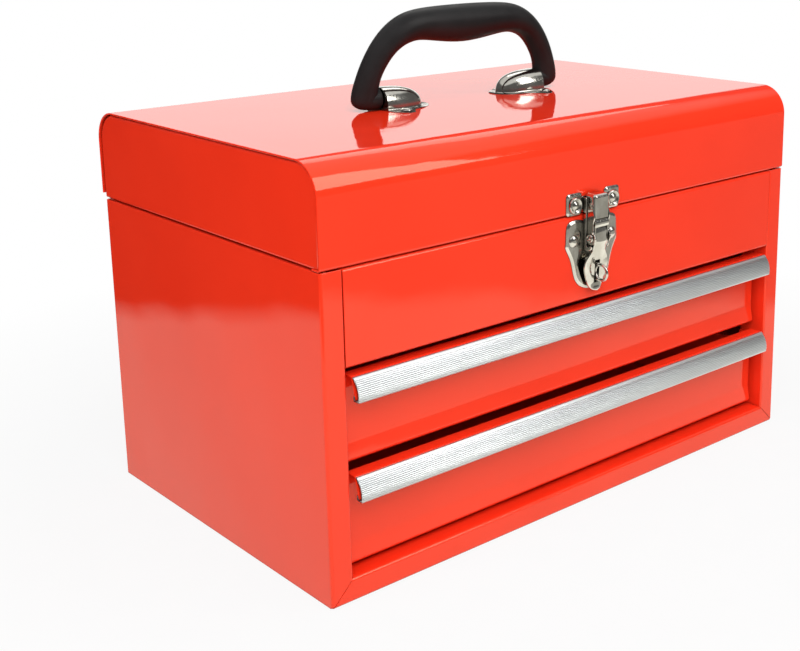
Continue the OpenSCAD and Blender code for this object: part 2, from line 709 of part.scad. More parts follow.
module latch_lever_pin() color(STEEL)
    latch_slice(-lever_w - 0.1, lever_w + 0.1) translate(lever_pin) circle(r = latch_pin_r);

module latch_claw_pin() color(STEEL) {
    latch_slice(-claw_w - 0.2, claw_w + 0.2) translate(claw_pin) circle(r = latch_pin_r);
    for (side = [-1, 1]) latch_slice(side > 0 ? claw_w + 0.2 : -claw_w - 1.2,
        side > 0 ? claw_w + 1.2 : -claw_w - 0.2) translate(claw_pin) circle(r = latch_pin_r + 1);
}

// Face of the lever in [distance out, height], top to tip
LEVER_LINE = [[lever_face - 0.6, -2.8], [lever_face - 0.6, -18.5, 3], [5.2, -31.5, 8], [3.9, -56]];
module latch_lever() color(CHROME) {
    half = [[lever_w, -2], [lever_w, -16], [min(5.4, lever_w), -21], [6, -24.5], [10.4, -32],
        [11.2, -36], [9.6, -42], [6.8, -48.5], [5.2, -51], [3.2, -52.5], [0, -53]];
    shape = concat(half, [for (i = [len(half) - 2:-1:0]) [-half[i][0], half[i][1]]]);
    difference() {
        union() {
            intersection() {
                latch_slice(-20, 20) polygon(bent(LEVER_LINE, latch_t));
                latch_face(20) polygon(shape);
            }
            for (side = [-1, 1])
                latch_slice(side > 0 ? lever_in : -lever_w, side > 0 ? lever_w : -lever_in) {
                translate(lever_pin) circle(r = lever_roll);
                polygon([[lever_pin[0] - 4, lever_pin[1]], [lever_face - 0.6, lever_pin[1] + 0.8],
                    [lever_face - 0.6, -18.5], [7.2, -25.4], [5, -24], [claw_pin[0] - 4, claw_pin[1]]]);
            }
        }
        latch_slice(-10, 10) {
            translate(lever_pin) circle(r = latch_pin_r + pin_play);
            translate(claw_pin) circle(r = latch_pin_r);
        }
        // room for the base plate's post and for the padlock eye
        latch_face(20) translate([-eye_t / 2 - 1.3, eye_at[1] - eye_r - 2])
            square([eye_t + 2.6, 2 * eye_r + 5]);
    }
}

// U-shaped claw: two sides on the claw pin, a front face and a top that hooks over the strike
module latch_claw() color(CHROME) {
    reach = strike_lip - hook_grip;
    difference() {
        union() {
            for (side = [-1, 1]) latch_slice(side > 0 ? claw_in : -claw_w, side > 0 ? claw_w : -claw_in) {
                translate(claw_pin) circle(r = claw_end_r);
                polygon([[claw_pin[0] - claw_end_r, claw_pin[1]], [2, claw_top - 4.2],
                    [3.4, claw_top - 0.8], [5.4, claw_top], [8.6, claw_top], [10.2, claw_top - 0.8],
                    [claw_front, claw_top - 3.2], [claw_front, claw_face_z], [9.2, claw_face_z - 3],
                    [9.2, claw_face_z - 9], [claw_pin[0] + claw_end_r - 1, claw_pin[1]]]);
            }
            latch_slice(-claw_w, claw_w)
                polygon([[claw_front, claw_face_z], [claw_front, claw_top - 3.2],
                    [10.2, claw_top - 0.8], [8.6, claw_top], [reach, claw_top],
                    [reach, claw_top - latch_t], [8.4, claw_top - latch_t], [9.2, claw_top - 1.6],
                    [claw_front - latch_t, claw_top - 3.4], [claw_front - latch_t, claw_face_z]]);
        }
        latch_slice(-10, 10) translate(claw_pin) circle(r = latch_pin_r + pin_play);
    }
}

// Plate on the lid with two ears and the lip that the claw hooks over
module lid_strike() color(CHROME) difference() {
    union() {
        latch_face(latch_t) {
            for (side = [-1, 1])
                translate([strike_shift + (side > 0 ? strike_half - strike_ear : -strike_half), strike_z0])
                    square([strike_ear, strike_z1 - strike_z0]);
            translate([strike_shift - strike_half + 2, strike_z0 + 3]) square([2 * strike_half - 4, 9]);
        }
        latch_slice(-strike_tab_w, strike_tab_w) polygon([[latch_t / 2, strike_tab_z],
            [strike_lip, strike_tab_z], [strike_lip, strike_lip_top],
            [strike_lip - latch_t, strike_lip_top], [strike_lip - latch_t, strike_tab_z + latch_t],
            [latch_t / 2, strike_tab_z + latch_t]]);
    }
    for (side = [-1, 1]) bar_y(rivet_r + rivet_play, front_y - latch_t - 1, front_y + 1,
        latch_x + strike_shift + side * strike_rivet[0], body_h + strike_rivet[1]);
}

module strike_rivets() color(CHROME) for (side = [-1, 1])
    translate([latch_x + strike_shift + side * strike_rivet[0], front_y - latch_t, body_h + strike_rivet[1]])
        rotate([90, 0, 0]) rivet(5.8, 2, latch_t + sheet_t);

// ---- Drawers ------------------------------------------------------------------------------

// Open tray with outward lips that slide in the body rails, and a stop tab on each side
module drawer_tray(bottom, height) color(PAINT_IN) {
    z0 = bottom + drawer_t;
    z1 = z0 + height;
    t = drawer_t;
    block([-tray_x, tray_front, z0], [tray_x, tray_back, z0 + t]);
    block([-tray_x, tray_front, z0], [tray_x, tray_front + t, z1]);
    block([-tray_x, tray_back - t, z0], [tray_x, tray_back, z1]);
    both_sides() {
        block([tray_x - t, tray_front, z0], [tray_x, tray_back, z1]);
        block([tray_x - t, lip_front, z1 - t], [lip_x, tray_back, z1]);
        block([lip_x - 1, stop_y, z1 - t], [stop_x, stop_y + stop_l, z1]);
    }
}

// Painted front sheet: lip behind the pull, top, face, forward kick and fold under the tray
module drawer_front(top, bottom) color(PAINT) {
    s = drawer_t / 2;
    path = [[front_y - lip_lean + s, top - pull_h + pull_t + 0.2], [front_y + lip_in, top - s, 0.5],
        [face_y + s, top - s, 0.8], [face_y + s, bottom + 13, 20],
        [face_y - face_kick + s, bottom + s, 1.6], [face_y + face_hem, bottom + s]];
    along_x(-front_x, front_x) polygon(bent(path, drawer_t));
    both_sides() block([front_x - drawer_t, face_y + drawer_t - 0.1, bottom + drawer_t + 2],
        [front_x, face_y + front_flange, top - 3]);
}

// Curved aluminium pull, hooked under the front's lip
module drawer_pull(top) color(ALUMINIUM) {
    p = [front_y - pull_top_in, top];
    q = [front_y - pull_out + pull_lean, top - pull_h];
    chord = norm(q - p);
    r = chord * chord / 8 / pull_sag + pull_sag / 2;
    c = (p + q) / 2 - left(unit(q - p)) * (pull_sag - r);
    a0 = atan2(p[1] - c[1], p[0] - c[0]);
    a1 = a0 + 2 * asin(chord / 2 / r);
    hook = front_y - lip_lean + drawer_t + 0.9;
    along_x(-front_x, front_x) polygon(concat(arc(c, r, a0, a1, 20), arc(c, r - pull_t, a1, a0, 20)));
    along_x(-front_x, front_x) polygon([q, q + [0, pull_t], [hook, top - pull_h + pull_t],
        [hook, top - pull_h + hook_h], [hook + 0.8, top - pull_h + hook_h], [hook + 0.8, top - pull_h]]);
}

module upper_drawer_tray() drawer_tray(upper_bottom, upper_tray_h);
module lower_drawer_tray() drawer_tray(lower_bottom, lower_tray_h);
module upper_drawer_front() drawer_front(upper_top, upper_bottom);
module lower_drawer_front() drawer_front(lower_top, lower_bottom);
module upper_drawer_pull() drawer_pull(upper_top);
module lower_drawer_pull() drawer_pull(lower_top);

// ---- Nodes --------------------------------------------------------------------------------

left_side_panel();
right_side_panel();
back_panel();
base_pan();
front_panel();
bay_floor();
upper_rail_left();
upper_rail_right();
lower_rail_left();
lower_rail_right();
hinge_body_leaf();
hinge_pin();
latch_base();
latch_base_rivets();
padlock_eye();
latch_lever_pin();
stay_pivot_stud();
lid_wrap();
lid_end_left();
lid_end_right();
hinge_lid_leaf();
lid_strike();
strike_rivets();
handle_bracket_left();
handle_bracket_right();
handle_bracket_rivets();
stay_slide_stud();
handle_grip();
handle_core();
latch_lever();
latch_claw_pin();
latch_claw();
lid_stay();
upper_drawer_tray();
upper_drawer_front();
upper_drawer_pull();
lower_drawer_tray();
lower_drawer_front();
lower_drawer_pull();
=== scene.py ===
import math

import bmesh
import bpy
from mathutils import Matrix, Vector


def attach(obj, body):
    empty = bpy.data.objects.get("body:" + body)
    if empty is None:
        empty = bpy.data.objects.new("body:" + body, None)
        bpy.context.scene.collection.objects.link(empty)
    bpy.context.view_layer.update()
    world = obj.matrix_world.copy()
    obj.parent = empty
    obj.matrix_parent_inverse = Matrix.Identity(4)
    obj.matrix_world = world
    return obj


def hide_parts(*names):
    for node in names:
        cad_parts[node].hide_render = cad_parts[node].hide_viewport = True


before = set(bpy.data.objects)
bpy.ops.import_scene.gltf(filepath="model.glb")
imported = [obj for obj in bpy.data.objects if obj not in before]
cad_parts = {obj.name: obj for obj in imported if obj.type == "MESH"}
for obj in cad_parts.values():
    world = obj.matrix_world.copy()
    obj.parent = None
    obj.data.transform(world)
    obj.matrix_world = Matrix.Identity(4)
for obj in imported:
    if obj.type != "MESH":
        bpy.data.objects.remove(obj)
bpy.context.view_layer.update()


# ---- Side walls ----------------------------------------------------------------------------
# Each side wall is one steel sheet, folded into the front stile with its return wall and into
# a narrow flange at the back. It is stoved with gloss enamel inside and out. The foot of the
# stile is mitred against the bottom rail, and the top is turned in for stiffness.

MM = 0.001
SHEET = 1.2
HALF = SHEET / 2                 # from a sheet's face to its middle layer
FOLD = 1.6                       # radius of the sheet's middle layer in a small fold
WALL_X = 214.4                   # the middle layers of the walls
FRONT_Y, BACK_Y = -131.9, 131.9
STILE_X, RETURN_Y = 200.1, -110.0      # the stile's inner fold, and where its return wall ends
FLANGE_X = 203.0                 # the inner edge of the narrow flange at the back
SEAM = 208.0                     # height of the seam under the lid
RIM = 0.3                        # how far a sheared edge is broken


def folded(profile, along, low, high):
    """The middle layer of a bent sheet. The profile's corners (across, up, fold radius) are
    joined, pulled along an axis from low to high, and folded at each corner."""
    bm = bmesh.new()

    def spot(a, b, s):
        return Vector({"X": (s, a, b), "Y": (a, s, b), "Z": (a, b, s)}[along]) * MM

    corners = [bm.verts.new(spot(p[0], p[1], low)) for p in profile]
    for pair in zip(corners, corners[1:]):
        bm.edges.new(pair)
    pulled = bmesh.ops.extrude_edge_only(bm, edges=bm.edges[:])["geom"]
    far = {g for g in pulled if isinstance(g, bmesh.types.BMVert)}
    bmesh.ops.translate(bm, verts=list(far), vec=spot(0, 0, high - low))
    for i in range(1, len(profile) - 1):
        before, here, after = (Vector(profile[k][:2]) for k in (i - 1, i, i + 1))
        turn = (here - before).angle(after - here)
        radius = profile[i][2] if len(profile[i]) > 2 else FOLD
        fold = next(e for e in corners[i].link_edges if e.other_vert(corners[i]) in far)
        bmesh.ops.bevel(bm, geom=[fold], offset=radius * math.tan(turn / 2) * MM,
                        offset_type="OFFSET", segments=max(5, round(radius * 1.2)), profile=0.5,
                        affect="EDGES", material=-1)
    return bm


def flat(bm, low, high):
    """Adds a flat rectangle, one of whose three extents is nothing."""
    low, high = Vector(low) * MM, Vector(high) * MM
    size = high - low
    thin = min(range(3), key=lambda i: abs(size[i]))
    turn = [Matrix.Rotation(math.pi / 2, 4, "Y"), Matrix.Rotation(math.pi / 2, 4, "X"),
            Matrix.Identity(4)][thin]
    sides = [(size.z, size.y), (size.x, size.z), (size.x, size.y)][thin]
    bmesh.ops.create_grid(bm, x_segments=1, y_segments=1, size=0.5, matrix=Matrix.Translation(
        (low + high) / 2) @ turn @ Matrix.Diagonal((*sides, 1, 1)))


def trim(bm, part, point, normal):
    """Cuts the faces whose centre is in part, and drops what lies behind the plane."""
    point, normal = Vector(point) * MM, Vector(normal).normalized()
    faces = [f for f in bm.faces if part(f.calc_center_median() / MM)]
    geom = faces + list({e for f in faces for e in f.edges}) + list({v for f in faces for v in f.verts})
    cut = bmesh.ops.bisect_plane(bm, geom=geom, dist=1e-7, plane_co=point, plane_no=normal)
    new = [g for g in cut["geom"] if isinstance(g, bmesh.types.BMFace)]
    gone = [f for f in new if (f.calc_center_median() - point).dot(normal) < 0]
    bmesh.ops.delete(bm, geom=gone, context="FACES")


def mirrored(bm, side):
    """Moves a piece that is drawn on the right to the left for side -1."""
    if side < 0:
        bmesh.ops.scale(bm, vec=(-1, 1, 1), verts=bm.verts)
        bmesh.ops.reverse_faces(bm, faces=bm.faces)
    return bm


def fit(bm, name, material, body, nodes, sheet=0.0, rim=RIM, merge=1e-6, offset=0.0):
    """Makes the piece: gives a sheet its thickness, breaks its edges and rides it on its body."""
    bmesh.ops.remove_doubles(bm, verts=bm.verts, dist=merge)
    if not sheet:
        bmesh.ops.recalc_face_normals(bm, faces=bm.faces)
    mesh = bpy.data.meshes.new(name)
    bm.to_mesh(mesh)
    bm.free()
    mesh.materials.append(material)
    mesh.shade_smooth()
    piece = bpy.data.objects.new(name, mesh)
    bpy.context.scene.collection.objects.link(piece)
    if sheet:
        wall = piece.modifiers.new("thickness", "SOLIDIFY")
        wall.thickness, wall.offset, wall.use_even_offset = sheet * MM, offset, True
    if rim:
        edge = piece.modifiers.new("broken edges", "BEVEL")
        edge.width, edge.segments = rim * MM, 2
        edge.limit_method, edge.angle_limit = "ANGLE", math.radians(38)
    piece.modifiers.new("flat faces stay flat", "WEIGHTED_NORMAL").keep_sharp = False
    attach(piece, body)
    if nodes:
        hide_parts(*nodes)
    return piece


def node(tree, kind, inputs=None, **settings):
    """Adds a shader node; an input is a value or another node's output."""
    made = tree.nodes.new(kind)
    for key, value in settings.items():
        setattr(made, key, value)
    for key, value in (inputs or {}).items():
        if isinstance(value, bpy.types.NodeSocket):
            tree.links.new(value, made.inputs[key])
        else:
            made.inputs[key].default_value = value
    return made


def ramp(tree, value, *stops):
    """Turns a value into a colour between the stops (value, (r, g, b))."""
    made = node(tree, "ShaderNodeValToRGB", {"Fac": value})
    band = made.color_ramp
    while len(band.elements) < len(stops):
        band.elements.new(0.5)
    for element, (at, rgb) in zip(band.elements, stops):
        element.position, element.color = at, (*rgb, 1)
    return made.outputs["Color"]


def levels(tree, value, low, high, to_low, to_high):
    """Stretches low to high of a value to to_low to to_high."""
    return node(tree, "ShaderNodeMapRange", {"Value": value, "From Min": low, "From Max": high,
                                             "To Min": to_low, "To Max": to_high}).outputs["Result"]


def maths(tree, operation, *values):
    """The result of one sum on values or other nodes' outputs."""
    return node(tree, "ShaderNodeMath", dict(enumerate(values)), operation=operation).outputs["Value"]


def plain(name, **sockets):
    """A new material with a Principled shader, and its tree and place on the object."""
    material = bpy.data.materials.new(name)
    material.use_nodes = True
    tree = material.node_tree
    shader = tree.nodes["Principled BSDF"]
    for key, value in sockets.items():
        shader.inputs[key.replace("_", " ")].default_value = value
    place = node(tree, "ShaderNodeTexCoord").outputs["Object"]
    return material, tree, shader, place


def speckle_group():
    """Fine dust and cloudy drift over a finish: two masks from 0 to 1."""
    tree = bpy.data.node_groups.new("surface drift", "ShaderNodeTree")
    face = tree.interface
    face.new_socket("Vector", in_out="INPUT", socket_type="NodeSocketVector")
    for name, value in (("Cloud Scale", 8.0), ("Speck Scale", 900.0)):
        face.new_socket(name, in_out="INPUT", socket_type="NodeSocketFloat").default_value = value
    for name in ("Cloud", "Speck"):
        face.new_socket(name, in_out="OUTPUT", socket_type="NodeSocketFloat")
    into = node(tree, "NodeGroupInput").outputs
    cloud = node(tree, "ShaderNodeTexNoise", {"Vector": into["Vector"], "Scale": into["Cloud Scale"],
                                              "Detail": 3.0}).outputs["Fac"]
    speck = node(tree, "ShaderNodeTexNoise", {"Vector": into["Vector"], "Scale": into["Speck Scale"],
                                              "Detail": 1.0}).outputs["Fac"]
    node(tree, "NodeGroupOutput", {"Cloud": levels(tree, cloud, 0.35, 0.65, 0.0, 1.0),
                                   "Speck": levels(tree, speck, 0.55, 0.75, 0.0, 1.0)})
    return tree


DRIFT = speckle_group()


def drift(tree, place, cloud, speck):
    return node(tree, "ShaderNodeGroup", {"Vector": place, "Cloud Scale": cloud, "Speck Scale": speck},
                node_tree=DRIFT).outputs


def seam_group():
    """Painted shade that darkens seams and corners where the surroundings hide the light, and wear on edges
    that stand out: two masks.
    """
    tree = bpy.data.node_groups.new("painted seam shade and edge wear", "ShaderNodeTree")
    face = tree.interface
    face.new_socket("Vector", in_out="INPUT", socket_type="NodeSocketVector")
    for name, value in (("Seam Reach", 0.002), ("Edge Reach", 0.0005)):
        face.new_socket(name, in_out="INPUT", socket_type="NodeSocketFloat").default_value = value
    for name in ("Painted Shade", "Wear"):
        face.new_socket(name, in_out="OUTPUT", socket_type="NodeSocketFloat")
    into = node(tree, "NodeGroupInput").outputs
    patches = node(tree, "ShaderNodeTexNoise", {"Vector": into["Vector"], "Scale": 160.0,
                                                "Detail": 3.0}).outputs["Fac"]
    seam = node(tree, "ShaderNodeAmbientOcclusion", {"Distance": into["Seam Reach"]}, samples=6)
    edge = node(tree, "ShaderNodeAmbientOcclusion", {"Distance": into["Edge Reach"]}, samples=4,
                inside=True, only_local=True)
    # painted shade: the more the surroundings close in round a spot, the darker it is coloured
    painted_shade = levels(tree, seam.outputs["AO"], 0.90, 0.35, 0.0, 1.0)
    worn = levels(tree, edge.outputs["AO"], 0.70, 0.35, 0.0, 1.0)
    patchy = maths(tree, "MULTIPLY", worn, levels(tree, patches, 0.45, 0.62, 0.15, 1.0))
    node(tree, "NodeGroupOutput", {"Painted Shade": painted_shade, "Wear": patchy})
    return tree


SEAMS = seam_group()


def seams(tree, place, seam_reach, edge_reach):
    return node(tree, "ShaderNodeGroup", {"Vector": place, "Seam Reach": seam_reach,
                                          "Edge Reach": edge_reach}, node_tree=SEAMS).outputs


# used both for real wear and for painted shade in seams
def stain_and_shade(tree, colour, mask, share, rgb):
    """Mixes a colour into another one by a share of a mask."""
    return node(tree, "ShaderNodeMix", {"Factor": levels(tree, mask, 0.0, 1.0, 0.0, share), 6: colour,
                                        7: (*rgb, 1)}, data_type="RGBA").outputs[2]


def bump(tree, shader, height, strength, distance):
    made = node(tree, "ShaderNodeBump", {"Height": height, "Strength": strength, "Distance": distance})
    tree.links.new(made.outputs["Normal"], shader.inputs["Normal"])


def make_enamel():
    material, tree, shader, place = plain("gloss enamel", IOR=1.5, Specular_Tint=(1, 0.96, 0.72, 1))
    masks = drift(tree, place, 7.0, 1400.0)
    marks = seams(tree, place, 0.003, 0.0004)
    paint = ramp(tree, masks["Cloud"], (0.0, (0.90, 0.033, 0.0095)), (1.0, (0.95, 0.038, 0.0115)))
    paint = stain_and_shade(tree, paint, marks["Wear"], 0.35, (0.55, 0.05, 0.03))
    # painted shade: seams, gaps and crevices are coloured dark red for the shadow that falls there
    paint = stain_and_shade(tree, paint, marks["Painted Shade"], 0.5, (0.16, 0.008, 0.004))
    tree.links.new(paint, shader.inputs["Base Color"])
    tree.links.new(levels(tree, masks["Speck"], 0.0, 1.0, 0.05, 0.10), shader.inputs["Roughness"])
    wave = node(tree, "ShaderNodeTexNoise", {"Vector": place, "Scale": 12.0, "Detail": 1.5})
    peel = node(tree, "ShaderNodeTexNoise", {"Vector": place, "Scale": 170.0, "Detail": 2.0})
    height = maths(tree, "MULTIPLY_ADD", peel.outputs["Fac"], 0.016, wave.outputs["Fac"])
    bump(tree, shader, height, 1.0, 0.0011)
    return material


ENAMEL = make_enamel()

MITRE = 215.0                    # the mitre runs from the box's corner at 45 degrees
MITRE_GAP = 0.15                 # how far each side of it is cut back
for side, name in ((-1, "left_side_panel"), (1, "right_side_panel")):
    wall = folded([(FLANGE_X, BACK_Y), (WALL_X, BACK_Y), (WALL_X, FRONT_Y), (STILE_X, FRONT_Y, 0.9),
                   (STILE_X, RETURN_Y)], "Z", 0.0, SEAM)
    trim(wall, lambda c: c.y < RETURN_Y - 2 and c.x > STILE_X - 1.1, (MITRE + MITRE_GAP, 0, 0), (1, 0, 1))
    flat(wall, (208.8, -130.3, SEAM - HALF), (213.9, 121.9, SEAM - HALF))
    fit(mirrored(wall, side), name.replace("side_panel", "side_wall"), ENAMEL, "body", [name],
        sheet=SHEET)


# ---- Back, bottom and front panels ---------------------------------------------------------
# The back panel is folded in at its top. The bottom sheet turns up at the back and round the
# front bottom rail, whose ends are mitred. The front panel of the top bay is folded in all
# round and rivetted to the latch. All are spot-welded to the side walls and enamelled.

PANEL_X, PANEL_Y = 212.8, 130.7  # the back panel's half width and middle layer
fit(folded([(PANEL_Y, 0.0), (PANEL_Y, SEAM - HALF), (122.1, SEAM - HALF)], "X", -PANEL_X, PANEL_X),
    "rear_wall", ENAMEL, "body", ["back_panel"], sheet=SHEET)

PAN_X, PAN_BACK_Y = 213.6, 129.5     # the bottom sheet lies inside the walls and the back panel
RAIL_TOP, RAIL_BACK_Y = 14.9, -118.0
RAIL_END_Y = -115.0              # in front of this the ends are mitred, behind it cut square
pan = folded([(PAN_BACK_Y, 14.0), (PAN_BACK_Y, HALF), (FRONT_Y, HALF), (FRONT_Y, RAIL_TOP),
              (RAIL_BACK_Y, RAIL_TOP)], "X", -MITRE, MITRE)
for side in (-1, 1):
    trim(pan, lambda c: c.y < RAIL_END_Y, (side * (MITRE - MITRE_GAP), 0, 0), (-side, 0, -1))
    trim(pan, lambda c: c.y > RAIL_END_Y, (side * PAN_X, 0, 0), (-side, 0, 0))
fit(pan, "bottom_sheet", ENAMEL, "body", ["base_pan"], sheet=SHEET)

APRON_X, APRON_FOOT = 199.3, 148.6   # the front panel's half width and the fold at its foot
RIM_Y = -124.5                   # how far back the folds at the seam reach
apron = folded([(RIM_Y, SEAM - HALF), (FRONT_Y, SEAM - HALF), (FRONT_Y, APRON_FOOT),
                (-117.5, APRON_FOOT)], "X", -APRON_X, APRON_X)
for side in (-1, 1):
    end_x = side * (APRON_X - HALF)
    flat(apron, (end_x, -130.5, 150.5), (end_x, -112.0, SEAM - 2.0))
fit(apron, "front_wall", ENAMEL, "body", ["front_panel"], sheet=SHEET)


# ---- Bay floor, rails, hinge and stay ------------------------------------------------------
# Inner parts keep the sizes they are built to, and get the broken edges of deburred sheet.
# The floor is enamelled with the box. The drawer rails, the piano hinge, the stay and its
# studs are bright zinc-plated steel, spot-welded or rivetted in place.


def deburred(name, material, body, rim=RIM):
    """A node's own shape, with its loose triangles joined and its edges broken."""
    weld = 2e-6
    bm = bmesh.new()
    bm.from_mesh(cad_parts[name].data)
    bmesh.ops.remove_doubles(bm, verts=bm.verts, dist=weld)
    bmesh.ops.dissolve_limit(bm, angle_limit=math.radians(0.5), verts=bm.verts, edges=bm.edges)
    fit(bm, name + "_finished", material, body, [name], rim=rim, merge=weld)


def make_zinc():
    material, tree, shader, place = plain("zinc-plated steel", Metallic=1.0)
    masks = drift(tree, place, 60.0, 700.0)
    tree.links.new(ramp(tree, masks["Cloud"], (0.0, (0.50, 0.52, 0.53)), (1.0, (0.64, 0.65, 0.65))),
                   shader.inputs["Base Color"])
    tree.links.new(levels(tree, masks["Speck"], 0.0, 1.0, 0.30, 0.42), shader.inputs["Roughness"])
    bump(tree, shader, masks["Cloud"], 0.1, 0.00005)
    return material


ZINC = make_zinc()

deburred("bay_floor", ENAMEL, "body")
for name in ("upper_rail_left", "upper_rail_right", "lower_rail_left", "lower_rail_right"):
    deburred(name, ZINC, "body")
deburred("hinge_body_leaf", ZINC, "body", rim=0.15)
deburred("hinge_lid_leaf", ZINC, "lid", rim=0.15)
deburred("stay_pivot_stud", ZINC, "body", rim=0.15)
deburred("stay_slide_stud", ZINC, "lid", rim=0.15)
deburred("lid_stay", ZINC, "lid_stay", rim=0.2)
for name in ("hinge_pin", "latch_lever_pin", "handle_core"):
    for place_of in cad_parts[name].material_slots:
        place_of.material = ZINC


# ---- Lid -----------------------------------------------------------------------------------
# One sheet is bent over the front, top and back in two wide curves and turned in along its
# front edge. Each end is a pressing with a rim all round, welded inside the sheet a little
# way in, so that the sheet's edge stands round it.

LID_Z, LID_TOP, LID_BACK = 208.5, 271.0, 136.5
LID_BEND = 21.0
LID_X = 215.0
INSET = 2.3                      # from the sheet's face to the middle layer of the end's rim
PRESSING_X, PRESSING_RIM = 213.4, 6.4
shell = folded([(RIM_Y, LID_Z + HALF), (FRONT_Y, LID_Z + HALF),
                (FRONT_Y, LID_TOP - HALF, LID_BEND - HALF),
                (LID_BACK - HALF, LID_TOP - HALF, LID_BEND - HALF), (LID_BACK - HALF, LID_Z + 3.5)],
               "X", -LID_X, LID_X)
fit(shell, "lid_shell", ENAMEL, "lid", ["lid_wrap"], sheet=SHEET)


def lid_pressing():
    low, high = Vector((-130.2, LID_Z + HALF)), Vector((LID_BACK - INSET, LID_TOP - INSET))
    bm = bmesh.new()
    flat(bm, (PRESSING_X, low.x, low.y), (PRESSING_X, high.x, high.y))
    corners = [v for v in bm.verts if v.co.z / MM > LID_Z + LID_BEND]
    bmesh.ops.bevel(bm, geom=corners, offset=(LID_BEND - INSET) * MM, offset_type="OFFSET", segments=24,
                    profile=0.5, affect="VERTICES", material=-1)
    border = [e for e in bm.edges if e.is_boundary]
    rim = bmesh.ops.extrude_edge_only(bm, edges=border)["geom"]
    bmesh.ops.translate(bm, verts=[g for g in rim if isinstance(g, bmesh.types.BMVert)],
                        vec=(-PRESSING_RIM * MM, 0, 0))
    bmesh.ops.bevel(bm, geom=border, offset=FOLD * MM, offset_type="OFFSET", segments=5, profile=0.5,
                    affect="EDGES", material=-1)
    return bm


for side, name in ((-1, "left"), (1, "right")):
    fit(mirrored(lid_pressing(), side), "lid_pressing_" + name, ENAMEL, "lid", ["lid_end_" + name],
        sheet=SHEET, rim=0.2)


# ---- Handle brackets -----------------------------------------------------------------------
# Two domed pressings in chromed steel. The flat side carries the handle's pivot, and the thin
# flange round the foot widens into an ear at the front and the back. Four rivets hold them.

BRACKET_X, HANDLE_Y = 74.0, -2.0
DOME_L, DOME_W, DOME_H = 36.0, 12.0, 15.5
FULLNESS = 2.6                   # 2 is a round dome, and more is fuller at the corners
FOOT_L, FOOT_W = 40.5, 18.0      # outline of the thin flange round the foot
EAR_X, EAR_Y, EAR_R = -8.5, 21.0, 7.0
LIFT, WAVE, WAVE_TURN = 0.45, 0.4, 0.42      # how the flange lies off the lid between its ears
HEAD, TAIL = (4.0, 1.6), (3.2, 1.0)          # a rivet's radius and height, outside and inside


def brushed(tree, place, stretch, scale):
    """Long fine lines: noise that is stretched along one axis."""
    lines = node(tree, "ShaderNodeMapping", {"Vector": place, "Scale": stretch})
    return node(tree, "ShaderNodeTexNoise", {"Vector": lines.outputs["Vector"], "Scale": scale,
                                             "Detail": 3.0}).outputs["Fac"]


def make_chrome():
    material, tree, shader, place = plain("chrome plate", Metallic=1.0)
    masks = drift(tree, place, 90.0, 1500.0)
    marks = seams(tree, place, 0.005, 0.0003)
    plate = ramp(tree, masks["Cloud"], (0.0, (0.58, 0.56, 0.51)), (1.0, (0.74, 0.72, 0.67)))
    plate = stain_and_shade(tree, plate, marks["Wear"], 0.5, (0.90, 0.86, 0.78))
    # painted shade: near black in seams and hollows, for the shadow between the latch's parts and round its
    # plates
    plate = stain_and_shade(tree, plate, marks["Painted Shade"], 0.92, (0.035, 0.028, 0.022))
    tree.links.new(plate, shader.inputs["Base Color"])
    lines = brushed(tree, place, (1.0, 1.0, 0.05), 1300.0)
    tree.links.new(levels(tree, lines, 0.3, 0.7, 0.07, 0.20), shader.inputs["Roughness"])
    bump(tree, shader, lines, 0.5, 0.00005)
    return material


CHROME = make_chrome()


def dome_bracket():
    bm = bmesh.new()
    bmesh.ops.create_uvsphere(bm, u_segments=64, v_segments=32, radius=1.0)
    for normal in ((-1, 0, 0), (0, 0, 1)):
        bmesh.ops.bisect_plane(bm, geom=bm.verts[:] + bm.edges[:] + bm.faces[:], dist=1e-6,
                               plane_co=(0, 0, 0), plane_no=normal, clear_inner=True)
    power = 2 / FULLNESS
    for v in bm.verts:
        squared = [math.copysign(abs(c) ** power, c) if abs(c) > 1e-6 else 0.0 for c in v.co]
        v.co = Vector((squared[0] * DOME_L, squared[1] * DOME_W, squared[2] * DOME_H)) * MM
    side = [e for e in bm.edges if e.is_boundary and all(abs(v.co.x) < 1e-7 for v in e.verts)]
    foot = [e for e in bm.edges if e.is_boundary and e not in side]
    skirt = bmesh.ops.extrude_edge_only(bm, edges=foot)["geom"]
    outer = [g for g in skirt if isinstance(g, bmesh.types.BMVert)]
    for v in outer:
        x, y = v.co.x / MM, v.co.y / MM
        wide = Vector((x * FOOT_L / DOME_L, y * FOOT_W / DOME_W))
        ear = math.exp(-abs((wide.x - EAR_X) / (EAR_R + 0.6)) ** 3.2)
        wide.y = math.copysign(abs(wide.y) + (EAR_Y + EAR_R - abs(wide.y)) * ear, y)
        lift = (LIFT + WAVE * math.sin(wide.x * WAVE_TURN)) * (1 - ear)
        v.co = Vector((wide.x, wide.y, lift)) * MM
    bmesh.ops.contextual_create(bm, geom=side)
    bmesh.ops.bevel(bm, geom=foot, offset=1.3 * MM, offset_type="OFFSET", segments=4, profile=0.5,
                    affect="EDGES", material=-1)
    bmesh.ops.translate(bm, verts=bm.verts, vec=Vector((BRACKET_X, HANDLE_Y, LID_TOP + 0.1)) * MM)
    bmesh.ops.recalc_face_normals(bm, faces=bm.faces)
    return bm


for side, name in ((-1, "left"), (1, "right")):
    fit(mirrored(dome_bracket(), side), "domed_bracket_" + name, CHROME, "lid",
        ["handle_bracket_" + name], sheet=1.0, rim=0.25, offset=-1.0)


